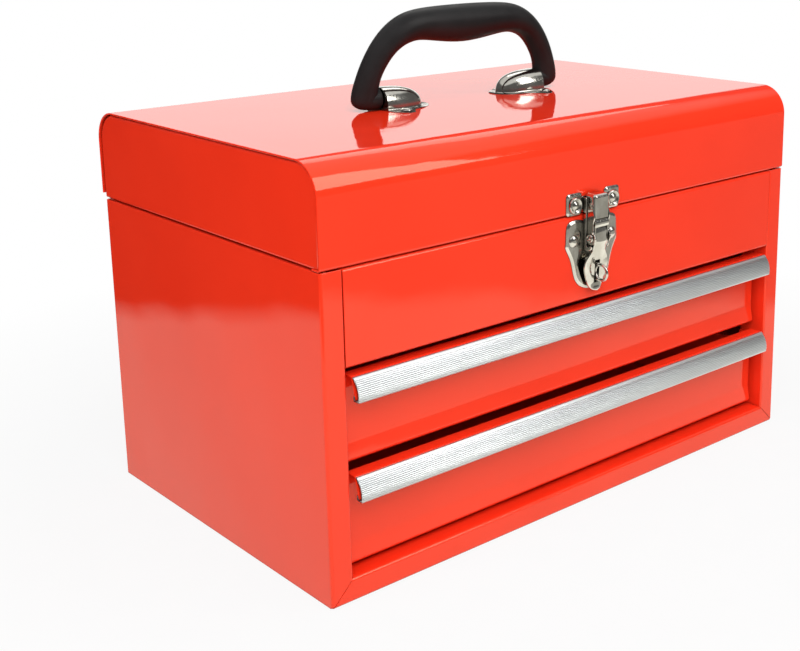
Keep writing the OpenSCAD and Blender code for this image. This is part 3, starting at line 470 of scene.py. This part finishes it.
def turned(bm, profile, matrix, steps=40):
    """Turns a profile of (radius, height) round the Z axis and moves it by matrix."""
    line = [bm.verts.new((r * MM, 0, h * MM)) for r, h in profile]
    edges = [bm.edges.new(pair) for pair in zip(line, line[1:])]
    bmesh.ops.spin(bm, geom=line + edges, cent=(0, 0, 0), axis=(0, 0, 1), angle=2 * math.pi,
                   steps=steps, use_merge=True)
    seen = set(line)
    todo = list(line)
    while todo:
        for e in todo.pop().link_edges:
            for v in e.verts:
                if v not in seen:
                    seen.add(v)
                    todo.append(v)
    bmesh.ops.transform(bm, matrix=matrix, verts=list(seen))


def mushroom(r, h):
    """Profile of a rivet's head, from the crown to the rim and down to its seat."""
    return [(0, h), (0.30 * r, 0.97 * h), (0.58 * r, 0.84 * h), (0.82 * r, 0.58 * h), (0.95 * r, 0.28 * h),
            (r, 0.08 * h), (r, -0.2), (0, -0.2)]


heads = bmesh.new()
for side in (-1, 1):
    for end in (-1, 1):
        spot = Vector((side * (BRACKET_X + EAR_X), HANDLE_Y + end * EAR_Y, LID_TOP + 1.1)) * MM
        turned(heads, mushroom(*HEAD), Matrix.Translation(spot))
        tail = Vector((side * (BRACKET_X + EAR_X), HANDLE_Y + end * EAR_Y, LID_TOP - 1.2)) * MM
        turned(heads, mushroom(*TAIL), Matrix.Translation(tail) @ Matrix.Rotation(math.pi, 4, "X"), 24)
fit(heads, "bracket_rivet_heads", CHROME, "lid", ["handle_bracket_rivets"], rim=0)


# ---- Handle --------------------------------------------------------------------------------
# A bent steel rod with a thick grip of black rubber moulded over it. The grip swells in the
# middle for the hand, narrows down the legs and ends in round feet against the brackets.

PIVOT_Z = LID_TOP + 8.0
FOOT_X, RISE = 84.5, 47.7
LEAN = Matrix.Rotation(math.radians(4.5), 4, "X")      # the handle stands a little forward
HUB_X, HUB_R, HUB_LONG = 79.4, 7.6, 10.0
LEVEL = 4                        # the rings of this many rows at each end lie level
# Each row is (across, up, half depth in the bend, half width), the first two as shares of the size.
GRIP = [(0.979, -0.150, 4.7, 2.6), (0.995, -0.120, 7.6, 4.9), (1.008, -0.065, 9.75, 6.9),
        (1.012, 0.000, 10.55, 7.6), (1.003, 0.111, 10.15, 7.8), (0.987, 0.244, 8.8, 8.2),
        (0.957, 0.388, 8.4, 8.4), (0.910, 0.540, 8.6, 8.6), (0.837, 0.720, 8.8, 9.2),
        (0.733, 0.885, 9.5, 10.2), (0.600, 0.995, 10.66, 10.8), (0.458, 1.029, 11.02, 11.0),
        (0.245, 1.008, 12.77, 11.2), (0.000, 0.985, 14.1, 11.3)]


def make_rubber():
    material, tree, shader, place = plain("moulded rubber", Specular_IOR_Level=0.17)
    masks = drift(tree, place, 30.0, 1300.0)
    tree.links.new(ramp(tree, masks["Cloud"], (0.0, (0.009, 0.0086, 0.009)), (1.0, (0.015, 0.0143, 0.0147))),
                   shader.inputs["Base Color"])
    tree.links.new(levels(tree, masks["Cloud"], 0.0, 1.0, 0.36, 0.48), shader.inputs["Roughness"])
    bump(tree, shader, masks["Speck"], 0.12, 0.00006)
    return material


RUBBER = make_rubber()


def grip_shape():
    rows = [(x * FOOT_X, z * RISE, t, w) for x, z, t, w in GRIP]
    rows += [(-x, z, t, w) for x, z, t, w in rows[-2::-1]]
    bm = bmesh.new()
    ring = bmesh.ops.create_circle(bm, cap_ends=True, segments=24, radius=MM)["verts"]
    edges = list({e for v in ring for e in v.link_edges if len(e.link_faces) == 1})
    last = Matrix.Identity(4)
    for i, (x, z, thick, wide) in enumerate(rows):
        before, after = rows[max(i - 1, 0)], rows[min(i + 1, len(rows) - 1)]
        along = Vector((after[0] - before[0], 0, after[1] - before[1])).normalized()
        if i < LEVEL or i >= len(rows) - LEVEL:
            along = Vector((0, 0, 1 if i < LEVEL else -1))
        across = along.cross(Vector((0, 1, 0)))
        here = Matrix.Translation(Vector((0, HANDLE_Y, PIVOT_Z)) * MM) @ LEAN @ Matrix.Translation(
            Vector((x, 0, z)) * MM) @ Matrix((
            (across.x * thick, 0, along.x, 0), (0, wide, 0, 0), (across.z * thick, 0, along.z, 0),
            (0, 0, 0, 1)))
        if i:
            grown = bmesh.ops.extrude_edge_only(bm, edges=edges)["geom"]
            ring = [g for g in grown if isinstance(g, bmesh.types.BMVert)]
            edges = [g for g in grown if isinstance(g, bmesh.types.BMEdge)]
        bmesh.ops.transform(bm, matrix=here @ last.inverted(), verts=ring)
        last = here
    bmesh.ops.contextual_create(bm, geom=edges)
    for side in (-1, 1):
        hub = bmesh.ops.create_cone(
            bm, cap_ends=True, segments=24, radius1=HUB_R * MM, radius2=HUB_R * MM, depth=HUB_LONG * MM,
            matrix=Matrix.Translation(Vector((side * HUB_X, HANDLE_Y, PIVOT_Z)) * MM)
            @ Matrix.Rotation(math.pi / 2, 4, "Y"))["verts"]
        rims = [e for e in {e for v in hub for e in v.link_edges} if e.calc_face_angle(0) > 1]
        bmesh.ops.bevel(bm, geom=rims, offset=0.6 * MM, offset_type="OFFSET", segments=2, profile=0.5,
                        affect="EDGES", material=-1)
    return bm


grip = fit(grip_shape(), "moulded_grip", RUBBER, "handle", ["handle_grip"], rim=0)
smooth = grip.modifiers.new("smooth skin", "SUBSURF")
smooth.levels = smooth.render_levels = 2
grip.modifiers.remove(grip.modifiers["flat faces stay flat"])


# ---- Latch ---------------------------------------------------------------------------------
# A toggle latch pressed from chromed sheet: a shield-shaped base plate and a strike plate,
# each held by two rivets, a lever with a rolled top, a U-shaped claw that hooks over the
# strike, and a round eye for a padlock that stands through the lever's slot.

LATCH_X = 3.0                    # the latch sits a little to the right of the middle
FACE = -132.5                    # the front of the panel it is rivetted to
STRIP = 1.1                      # thickness of the claw's and the lever's steel
CLAW_PIN = 6.8, -15.6            # out, up
CLAW_W, CLAW_OUT, CLAW_H, CLAW_FOLD = 14.8, 8.4, 16.4, 2.8
PIN_LONG, PIN_END_X = 16.4, 7.9
LIP_X, LIP_OUT = 6.2, 7.4
ROLL, ROLL_R, ROLL_W = (6.0, -6.0), 4.3, 13.0
SLOT_X, SLOT_LOW, SLOT_TOP = 2.3, -47.7, -31.7
EYE_OUT, EYE_UP, EYE_R, WIRE_R = 9.6, -40.0, 5.3, 1.1
RIVET_X = 17.9


def at_latch(x, out, up):
    return Vector((LATCH_X + x, FACE - out, SEAM + up)) * MM


def pressed(spots, push, corner=0.0, crown=0.0, rim=None, soft=0):
    """A plate with rounded corners. It is pushed to its thickness, its face may be raised
    inside a sloping rim (width, height), and its front edges are rounded by crown."""
    bm = bmesh.new()
    ring = [bm.verts.new(spot) for spot in spots]
    bm.faces.new(ring)
    if soft:
        bmesh.ops.subdivide_edges(bm, edges=bm.edges[:], cuts=3)
        for _ in range(soft):
            bmesh.ops.smooth_vert(bm, verts=bm.verts[:], factor=0.5, use_axis_x=True, use_axis_y=True,
                                  use_axis_z=True)
    if corner:
        bmesh.ops.bevel(bm, geom=ring, offset=corner * MM, offset_type="OFFSET", segments=4, profile=0.5,
                        affect="VERTICES", material=-1, clamp_overlap=True)
    moved = bmesh.ops.extrude_face_region(bm, geom=bm.faces[:])["geom"]
    ahead = {g for g in moved if isinstance(g, bmesh.types.BMVert)}
    face = [g for g in moved if isinstance(g, bmesh.types.BMFace)]
    bmesh.ops.translate(bm, verts=list(ahead), vec=Vector(push) * MM)
    bmesh.ops.recalc_face_normals(bm, faces=bm.faces)
    edges = [e for e in bm.edges if e.verts[0] in ahead and e.verts[1] in ahead]
    if rim:
        bmesh.ops.inset_region(bm, faces=face, thickness=rim[0] * MM, depth=rim[1] * MM,
                               use_boundary=True, use_even_offset=True)
        edges += face[0].edges[:]
    if crown:
        bmesh.ops.bevel(bm, geom=edges, offset=crown * MM, offset_type="OFFSET", segments=3, profile=0.5,
                        affect="EDGES", material=-1, clamp_overlap=True)
    return bm


def join(bm, other):
    """Adds another bmesh to bm."""
    scratch = bpy.data.meshes.new("scratch")
    other.to_mesh(scratch)
    other.free()
    bm.from_mesh(scratch)
    bpy.data.meshes.remove(scratch)


def cheeks(bm, outline, near, far, corner, crown=0.3):
    """Adds a plate on each side of the latch, from an outline of (out, up)."""
    for side in (-1, 1):
        join(bm, pressed([at_latch(side * near, out, up) for out, up in outline],
                         (side * (far - near), 0, 0), corner, crown))


SHIELD = [(0, -4.5), (9, -4.5), (11, -3), (19.5, -3), (23, -5), (24.2, -9), (24.2, -18.5), (25, -20.3),
          (23, -24), (19.6, -30), (17.9, -37), (16.2, -44), (11.8, -49), (6, -51.7), (0, -52.5)]
shield = pressed([at_latch(x, 0, up) for x, up in SHIELD + [(-x, up) for x, up in SHIELD[-2:0:-1]]],
                 (0, -0.45, 0), 0, 0.22, (1.9, 0.85), 5)
cheeks(shield, [(0.3, -11.5), (0.3, -3.0), (6.0, -3.4), (8.6, -6.0), (6.0, -9.6)], 3.8, 5.0, 0.8)
fit(shield, "shield_plate", CHROME, "body", ["latch_base"], rim=0.1)

STRIKE_X = 1.2
strike = pressed([at_latch(STRIKE_X + x, 0, up) for x, up in
                  ((-23.0, 3.2), (23.0, 3.2), (23.0, 12.2), (-23.0, 12.2))], (0, -0.8, 0), 0.5, 0.2)
for side in (-1, 1):
    ear = [(10.6, 0.2), (25.2, 0.2), (25.2, 15.2), (10.6, 15.2)]
    join(strike, pressed([at_latch(STRIKE_X + side * x, 0, up) for x, up in ear], (0, -0.45, 0), 2.6,
                         0.22, (1.5, 0.8)))
lip = folded([(FACE - HALF, SEAM + 4.0), (FACE - LIP_OUT, SEAM + 4.0, 1.2),
              (FACE - LIP_OUT, SEAM + 6.8)], "X", LATCH_X - LIP_X, LATCH_X + LIP_X)
bmesh.ops.solidify(lip, geom=lip.faces[:], thickness=SHEET * MM)
join(strike, lip)
fit(strike, "strike_plate", CHROME, "lid", ["lid_strike"], rim=0.1)


def rivet_pair(name, body, node_name, middle, x, up, profile):
    bm = bmesh.new()
    for side in (-1, 1):
        turned(bm, profile, Matrix.Translation(at_latch(middle + side * x, 1.2, up))
               @ Matrix.Rotation(math.pi / 2, 4, "X"))
        turned(bm, mushroom(*TAIL), Matrix.Translation(at_latch(middle + side * x, -1.2, up))
               @ Matrix.Rotation(-math.pi / 2, 4, "X"), 24)
    fit(bm, name, CHROME, body, [node_name], rim=0)


rivet_pair("shield_rivet_heads", "body", "latch_base_rivets", 0, RIVET_X, -17.0, mushroom(4.2, 2.0))
rivet_pair("strike_rivet_heads", "lid", "strike_rivets", STRIKE_X, RIVET_X, 7.0, [
    (0, 1.9), (1.5, 1.7), (2.5, 1.1), (3.1, 0.6), (3.7, 0.7), (4.4, 1.6), (5.0, 1.9), (5.4, 1.5),
    (5.75, 0.6), (5.8, -0.1), (0, -0.1)])


def claw_shape():
    """A cap with rounded corners hooks over the strike. Its sides run down to the pin, and an
    arm along the back of each side ends in a loop under the pin."""
    bm = bmesh.new()
    bmesh.ops.create_cube(bm, size=1.0, matrix=Matrix.Translation(at_latch(0, 6.2, 6.0))
                          @ Matrix.Diagonal((CLAW_W * MM, CLAW_OUT * MM, CLAW_H * MM, 1)))
    bm.normal_update()
    open_faces = [f for f in bm.faces if f.normal.z < -0.5 or f.normal.y > 0.5]
    bmesh.ops.delete(bm, geom=open_faces, context="FACES_ONLY")
    for e in [e for e in bm.edges if not e.link_faces]:
        bm.edges.remove(e)
    folds = [e for e in bm.edges if len(e.link_faces) == 2]
    bmesh.ops.bevel(bm, geom=folds, offset=CLAW_FOLD * MM, offset_type="OFFSET", segments=8, profile=0.5,
                    affect="EDGES", material=-1)
    bmesh.ops.solidify(bm, geom=bm.faces[:], thickness=STRIP * MM)
    web = [(1.4, 8.0), (1.4, -16.0), (3.2, -19.4), (6.8, -20.4), (10.2, -19.2), (11.6, -15.6), (9.2, -11.0),
           (9.2, -5.0), (10.4, -1.5), (8.0, 8.0)]
    cheeks(bm, web, 6.7, 7.7, 0.9)
    arm = [(0.7, 11.6), (0.7, -20.0), (2.2, -23.6), (4.8, -24.8), (7.6, -23.9), (8.8, -21.4), (7.0, -20.6),
           (5.2, -22.4), (3.9, -20.6), (3.7, -12.0), (3.9, 11.6)]
    cheeks(bm, arm, 7.3, 8.7, 0.8, 0.4)
    return bm


fit(claw_shape(), "hooked_claw", CHROME, "latch_claw", ["latch_claw"], rim=0.1)

pin = bmesh.new()
bmesh.ops.create_cone(pin, cap_ends=True, segments=32, radius1=1.5 * MM, radius2=1.5 * MM,
                      depth=PIN_LONG * MM, matrix=Matrix.Translation(at_latch(0, *CLAW_PIN))
                      @ Matrix.Rotation(math.pi / 2, 4, "Y"))
for side in (-1, 1):
    turned(pin, [(0, 1.2), (1.0, 1.2), (1.3, 0.6), (1.7, 0.6), (2.0, 1.1), (2.6, 1.0), (2.9, 0.4),
                 (2.9, -0.1), (0, -0.1)], Matrix.Translation(at_latch(side * PIN_END_X, *CLAW_PIN))
           @ Matrix.Rotation(side * math.pi / 2, 4, "Y"), 32)
fit(pin, "claw_pin_ends", CHROME, "latch_lever", ["latch_claw_pin"], rim=0)

# The lever's half width at each height, and how far out its middle stands there.
LEAF = [(6.4, -9.0), (6.4, -16.0), (5.4, -21.0), (6.0, -24.5), (10.4, -32.0), (11.2, -36.0),
        (9.6, -42.0), (6.8, -48.5), (5.2, -51.0), (3.2, -52.5), (0.0, -53.0)]
LEAF_LINE = [(-9.0, 8.4), (-12.0, 9.0), (-18.5, 9.4), (-25.0, 7.4), (-31.5, 5.4), (-40.0, 4.6), (-48.0, 3.9),
             (-50.5, 4.3), (-53.0, 5.3)]


def between(table, at):
    """Reads a value between the rows of a table whose first column falls."""
    for (a, x), (b, y) in zip(table, table[1:]):
        if a >= at >= b:
            return x + (y - x) * (a - at) / (a - b)
    return table[0][1] if at > table[0][0] else table[-1][1]


def lever_shape():
    """A leaf with a rolled top, a narrow neck and a slot for the eye, from one strip."""
    bm = bmesh.new()
    ring = [bm.verts.new(at_latch(x, 0, up)) for x, up in LEAF + [(-x, up) for x, up in LEAF[-2::-1]]]
    bm.faces.new(ring)
    bmesh.ops.bevel(bm, geom=ring[1:-1], offset=1.4 * MM, offset_type="OFFSET", segments=4, profile=0.5,
                    affect="VERTICES", material=-1, clamp_overlap=True)
    for x in (-9.5, -7, -5, -3.6, -2.3, 0, 2.3, 3.6, 5, 7, 9.5):
        bmesh.ops.bisect_plane(bm, geom=bm.verts[:] + bm.edges[:] + bm.faces[:], dist=1e-7,
                               plane_co=at_latch(x, 0, 0), plane_no=(1, 0, 0))
    for step in range(43):
        bmesh.ops.bisect_plane(bm, geom=bm.verts[:] + bm.edges[:] + bm.faces[:], dist=1e-7,
                               plane_co=at_latch(0, 0, -9.7 - step), plane_no=(0, 0, 1))
    hole = [f for f in bm.faces if abs(f.calc_center_median().x / MM - LATCH_X) < SLOT_X
            and SLOT_LOW < f.calc_center_median().z / MM - SEAM < SLOT_TOP]
    bmesh.ops.delete(bm, geom=hole, context="FACES")
    widths = [(up, x) for x, up in LEAF]
    for v in bm.verts:
        x, up = v.co.x / MM - LATCH_X, v.co.z / MM - SEAM
        share = min(1.0, abs(x) / max(between(widths, up), 0.5))
        v.co = at_latch(x, between(LEAF_LINE, up) - 1.0 * share ** 4, up)
    bmesh.ops.solidify(bm, geom=bm.faces[:], thickness=STRIP * MM)
    bmesh.ops.create_cone(bm, cap_ends=True, segments=48, radius1=ROLL_R * MM, radius2=ROLL_R * MM,
                          depth=ROLL_W * MM, matrix=Matrix.Translation(at_latch(0, *ROLL))
                          @ Matrix.Rotation(math.pi / 2, 4, "Y"))
    side = [(2.2, -6.0), (9.8, -7.0), (9.6, -19.0), (7.4, -25.0), (4.4, -22.5), (2.6, -15.6)]
    cheeks(bm, side, 5.3, 6.4, 1.4)
    return bm


fit(lever_shape(), "toggle_lever", CHROME, "latch_lever", ["latch_lever"], rim=0.2)


def eye_shape():
    bm = bmesh.new()
    section = bmesh.ops.create_circle(
        bm, cap_ends=False, segments=16, radius=MM, matrix=Matrix.Translation(
            at_latch(0, EYE_OUT, EYE_UP + EYE_R)) @ Matrix.Rotation(math.pi / 2, 4, "X")
        @ Matrix.Diagonal((WIRE_R, 1.0, 1.0, 1)))["verts"]
    bmesh.ops.spin(bm, geom=section + list({e for v in section for e in v.link_edges}),
                   cent=at_latch(0, EYE_OUT, EYE_UP), axis=(1, 0, 0), angle=2 * math.pi, steps=48,
                   use_merge=True)
    for up in (-34.9, -45.1):
        bmesh.ops.create_cone(bm, cap_ends=True, segments=24, radius1=WIRE_R * MM, radius2=WIRE_R * MM,
                              depth=8.0 * MM, matrix=Matrix.Translation(at_latch(0, 5.2, up))
                              @ Matrix.Rotation(math.pi / 2, 4, "X"))
    return bm


fit(eye_shape(), "round_eye", CHROME, "body", ["padlock_eye"], rim=0)


# ---- Drawers -------------------------------------------------------------------------------
# Each drawer is an enamelled tray with lips that run in the rails. Its painted front leans
# forward at the foot and is folded under the tray. A ribbed aluminium pull, as wide as the
# front, is hooked over the front's lip along the top.

FRONT_X = 195.5
DRAWER_SHEET = 1.0
LIP_Y = -122.0                   # middle layer of the painted front
PULL_H, PULL_SAG, PULL_WALL = 15.0, 2.4, 1.0
HOOK = 3.4                       # how far the pull's foot turns up behind
RIBS, RIB_PITCH, FIRST_RIB = 11, 1.24, 2.6
GROOVE, GROOVE_W, FLANK = 0.35, 0.58, 0.08


def make_aluminium():
    material, tree, shader, place = plain("drawn aluminium", Metallic=1.0, Anisotropic=0.5)
    masks = drift(tree, place, 12.0, 900.0)
    groove = node(tree, "ShaderNodeAttribute", attribute_name="groove").outputs["Fac"]
    bare = ramp(tree, masks["Cloud"], (0.0, (0.73, 0.76, 0.79)), (1.0, (0.78, 0.81, 0.84)))
    tree.links.new(stain_and_shade(tree, bare, groove, 0.4, (0.34, 0.35, 0.37)), shader.inputs["Base Color"])
    lines = brushed(tree, place, (0.02, 1.0, 1.0), 1600.0)
    tree.links.new(levels(tree, lines, 0.3, 0.7, 0.30, 0.40), shader.inputs["Roughness"])
    bump(tree, shader, lines, 0.03, 0.00002)
    return material


ALUMINIUM = make_aluminium()


def drawer_front(top, bottom):
    """A front that bulges forward at its foot, with a lip along the top that the pull hooks over."""
    half = DRAWER_SHEET / 2
    bm = folded([(-135.6, top - 13.6), (-131.9, top - half, 1.0), (LIP_Y, top - half, 1.3),
                 (LIP_Y, bottom + 13, 20), (LIP_Y - 2.2, bottom + half, 2.1), (-110.5, bottom + half)],
                "X", -FRONT_X, FRONT_X)
    for side in (-1, 1):
        end_x = side * (FRONT_X - half)
        flat(bm, (end_x, LIP_Y + 0.2, bottom + 3), (end_x, -112.5, top - 3))
    return bm


def drawer_pull(top):
    """A bar of one section (across, up): a bulging face with fine grooves, and a foot that
    turns back into a hook."""
    head, foot = Vector((-133.3, top)), Vector((-138.5, top - PULL_H))
    chord = foot - head
    radius = chord.length ** 2 / 8 / PULL_SAG + PULL_SAG / 2
    middle = (head + foot) / 2 + Vector((-chord.y, chord.x)).normalized() * (radius - PULL_SAG)
    whole = 2 * math.asin(chord.length / 2 / radius) * radius

    def on(way, deep):
        turn = Matrix.Rotation(way / radius, 2)
        return middle + turn @ (head - middle) * (1 - deep / radius)

    section = [on(way, 0) for way in (0.0, 0.8, 1.6, 2.4)]
    for i in range(RIBS):
        way = FIRST_RIB + RIB_PITCH * i
        section += [on(way, 0), on(way + FLANK, GROOVE), on(way + GROOVE_W - FLANK, GROOVE),
                    on(way + GROOVE_W, 0)]
    hook_y, low = -133.4, top - PULL_H
    section += [on(whole, 0), Vector((hook_y, low)), Vector((hook_y, low + HOOK)),
                Vector((hook_y - PULL_WALL, low + HOOK)), Vector((hook_y - PULL_WALL, low + PULL_WALL))]
    section += [on(way, PULL_WALL) for way in
                (whole - 1.2, whole * 0.8, whole * 0.6, whole * 0.4, whole * 0.2, 0.0)]
    bm = bmesh.new()
    end = bm.faces.new([bm.verts.new(Vector((-FRONT_X, *spot)) * MM) for spot in section])
    pulled = bmesh.ops.extrude_face_region(bm, geom=[end])["geom"]
    bmesh.ops.translate(bm, verts=[g for g in pulled if isinstance(g, bmesh.types.BMVert)],
                        vec=(2 * FRONT_X * MM, 0, 0))
    darker_groove = bm.faces.layers.float.new("groove")      # the grooves' faces are marked to be coloured darker
    for f in bm.faces:
        spot = f.calc_center_median() / MM
        deep = radius - (Vector((spot.y, spot.z)) - middle).length
        f[darker_groove] = 1.0 if abs(deep - GROOVE) < 0.05 and abs(spot.x) < 1 else 0.0
    return bm


for name, top, bottom in (("upper_drawer", 142.5, 85.5), ("lower_drawer", 80.0, 19.2)):
    deburred(name + "_tray", ENAMEL, name, rim=0.2)
    fit(drawer_front(top, bottom), name + "_face", ENAMEL, name, [name + "_front"],
        sheet=DRAWER_SHEET, rim=0.25)
    fit(drawer_pull(top), name + "_ribbed_pull", ALUMINIUM, name, [name + "_pull"], rim=0)


# ---- Floor, light and camera ---------------------------------------------------------------
# A white table in a studio: it reaches a little way round the box, with a dim room beyond it
# on both sides and in front, a white backdrop behind, and soft lamps above, in front and left.

TO_RIGHT = (0.7457, -0.6662, 0.0)      # level directions, as the camera looks at the box
TO_FRONT = (-0.665, -0.7476, 0.0)
TO_BACK = (0.66, 0.75, 0.0)


def along(tree, place, direction):
    """How far a place lies in a direction."""
    return node(tree, "ShaderNodeVectorMath", {0: place, 1: direction},
                operation="DOT_PRODUCT").outputs["Value"]


def mirrored_ray(tree, rays):
    """1 for what a gloss or a see-through piece shows, and 0 for all else."""
    return maths(tree, "MAXIMUM", rays["Is Glossy Ray"], rays["Is Transmission Ray"])


def stage_piece(name, bm, material):
    mesh = bpy.data.meshes.new(name)
    bm.to_mesh(mesh)
    bm.free()
    mesh.materials.append(material)
    piece = bpy.data.objects.new(name, mesh)
    bpy.context.scene.collection.objects.link(piece)
    return piece


def make_floor():
    material = bpy.data.materials.new("white table")
    material.use_nodes = True
    tree = material.node_tree
    tree.nodes.clear()
    place = node(tree, "ShaderNodeTexCoord").outputs["Object"]
    grain = node(tree, "ShaderNodeTexNoise", {"Vector": place, "Scale": 40.0, "Detail": 2.0})
    paper = node(tree, "ShaderNodeBsdfDiffuse", {"Color": ramp(
        tree, grain.outputs["Fac"], (0.3, (0.58, 0.58, 0.58)), (0.7, (0.62, 0.62, 0.62)))})
    across = along(tree, place, TO_RIGHT)
    off = maths(tree, "ABSOLUTE", maths(tree, "SUBTRACT", across, -0.03))
    table = levels(tree, off, 0.565, 0.635, 1.0, 0.0)
    near = along(tree, place, TO_FRONT)
    table = maths(tree, "MULTIPLY", table, levels(tree, near, 0.66, 0.70, 1.0, 0.0))
    room = levels(tree, across, -0.5, 0.5, 0.03, 0.42)
    bright = levels(tree, across, -0.5, 0.5, 0.91, 1.24)
    table = node(tree, "ShaderNodeMix", {"Factor": table, 2: room, 3: bright},
                 data_type="FLOAT").outputs[0]
    far = node(tree, "ShaderNodeVectorMath", {0: place}, operation="LENGTH").outputs["Value"]
    shade = levels(tree, far, 0.30, 0.60, 0.90, 1.0)
    rays = node(tree, "ShaderNodeLightPath").outputs
    seen = node(tree, "ShaderNodeEmission", {"Color": (1, 1, 1, 1), "Strength": 1.0})
    mirrored_look = node(tree, "ShaderNodeEmission", {"Color": (1, 0.98, 0.88, 1), "Strength": table})
    shown = node(tree, "ShaderNodeMixShader", {"Fac": shade, 1: paper.outputs[0], 2: seen.outputs[0]})
    first = node(tree, "ShaderNodeMixShader", {"Fac": rays["Is Camera Ray"], 1: paper.outputs[0],
                                               2: shown.outputs[0]})
    last = node(tree, "ShaderNodeMixShader", {"Fac": mirrored_ray(tree, rays), 1: first.outputs[0],
                                              2: mirrored_look.outputs[0]})
    node(tree, "ShaderNodeOutputMaterial", {"Surface": last.outputs[0]})
    return material


ground = bmesh.new()
bmesh.ops.create_grid(ground, x_segments=1, y_segments=1, size=4.0,
                      matrix=Matrix.Translation((0, 0, -0.0004)))
stage_piece("table_top", ground, make_floor())


def glow(name, strength):
    material = bpy.data.materials.new(name)
    material.use_nodes = True
    tree = material.node_tree
    tree.nodes.clear()
    lamp = node(tree, "ShaderNodeEmission", {"Color": (1, 0.99, 0.96, 1), "Strength": strength})
    node(tree, "ShaderNodeOutputMaterial", {"Surface": lamp.outputs[0]})
    return material


def card(name, azimuth, elevation, far, width, height, strength):
    """A glowing card that only shows in gloss; azimuth runs from +X towards +Y."""
    turn = Matrix.Rotation(math.radians(azimuth), 4, "Z") @ Matrix.Rotation(
        math.radians(-elevation), 4, "Y")
    bm = bmesh.new()
    bmesh.ops.create_grid(bm, x_segments=1, y_segments=1, size=0.5,
                          matrix=turn @ Matrix.Translation((far, 0, 0)) @ Matrix.Rotation(
                              math.pi / 2, 4, "Y") @ Matrix.Diagonal((height, width, 1, 1)))
    bmesh.ops.translate(bm, verts=bm.verts, vec=(0, 0, 0.2))
    piece = stage_piece(name, bm, glow(name, strength))
    piece.visible_camera = piece.visible_diffuse = piece.visible_shadow = False


card("soft_box_front", -59, 33, 2.4, 0.75, 1.5, 5.2)
card("soft_box_behind", 40, 45, 2.4, 1.5, 0.7, 2.2)


def make_world():
    """What lies beyond the table: a camera sees white, gloss sees the backdrop and the ceiling."""
    world = bpy.data.worlds.new("studio")
    world.use_nodes = True
    tree = world.node_tree
    tree.nodes.clear()
    away = node(tree, "ShaderNodeTexCoord").outputs["Generated"]
    up = node(tree, "ShaderNodeSeparateXYZ", {"Vector": away}).outputs["Z"]
    backdrop = levels(tree, along(tree, away, TO_BACK), 0.80, 0.90, 0.0, 1.0)
    low_part = maths(tree, "MULTIPLY", levels(tree, up, 0.05, 0.20, 0.66, 1.0),
                     levels(tree, up, 0.27, 0.34, 1.0, 0.0))
    white = maths(tree, "MULTIPLY", backdrop, low_part)
    ceiling = levels(tree, up, 0.54, 0.64, 0.12, 0.78)
    mirror_level = maths(tree, "MULTIPLY_ADD", white, 1.25, ceiling)
    rays = node(tree, "ShaderNodeLightPath").outputs
    soft = node(tree, "ShaderNodeBackground", {"Color": (1, 1, 1, 1), "Strength": 0.36})
    mirror_look = node(tree, "ShaderNodeBackground", {"Color": (1, 1, 0.98, 1), "Strength": mirror_level})
    blank = node(tree, "ShaderNodeBackground", {"Color": (1, 1, 1, 1), "Strength": 1.0})
    first = node(tree, "ShaderNodeMixShader", {"Fac": mirrored_ray(tree, rays), 1: soft.outputs[0],
                                               2: mirror_look.outputs[0]})
    last = node(tree, "ShaderNodeMixShader", {"Fac": rays["Is Camera Ray"], 1: first.outputs[0],
                                              2: blank.outputs[0]})
    node(tree, "ShaderNodeOutputWorld", {"Surface": last.outputs[0]})
    return world


bpy.context.scene.world = make_world()


def lamp(name, spot, aim, size, watts):
    """A square soft lamp; it doesn't show in gloss, where the cards stand for it."""
    data = bpy.data.lights.new(name, "AREA")
    data.shape, data.size, data.energy = "SQUARE", size, watts
    thing = bpy.data.objects.new(name, data)
    spot, aim = Vector(spot), Vector(aim)
    turn = (aim - spot).to_track_quat("-Z", "Y").to_matrix().to_4x4()
    thing.matrix_world = Matrix.Translation(spot) @ turn
    thing.visible_glossy = thing.visible_camera = False
    bpy.context.scene.collection.objects.link(thing)


lamp("key_lamp", (-0.56, -0.81, 0.83), (0, -0.1, 0.12), 0.9, 9.3)
lamp("fill_lamp", (0.40, -0.92, 0.80), (0, -0.1, 0.12), 0.8, 3.1)
lamp("side_lamp", (-1.2, -0.1, 0.78), (-0.1, 0, 0.14), 0.8, 3.4)
lamp("top_lamp", (0.1, -0.3, 1.3), (0, 0, 0.2), 0.8, 4.2)

EYE = -0.60741, -0.71814, 0.40926
lens = bpy.data.cameras.new("camera")
lens.sensor_width, lens.lens = 36.0, 58.49
lens.shift_x, lens.shift_y = -0.1137, -0.1489
lens.clip_start = 0.01
camera = bpy.data.objects.new("camera", lens)
right = Vector((0.745750, -0.666167, -0.008847))
forward = Vector((0.647249, 0.727592, -0.227329))
up = right.cross(forward)
camera.matrix_world = Matrix((*zip(right, up, -forward, EYE), (0, 0, 0, 1)))
bpy.context.scene.collection.objects.link(camera)
bpy.context.scene.camera = camera
bpy.context.scene.view_settings.view_transform = "Standard"
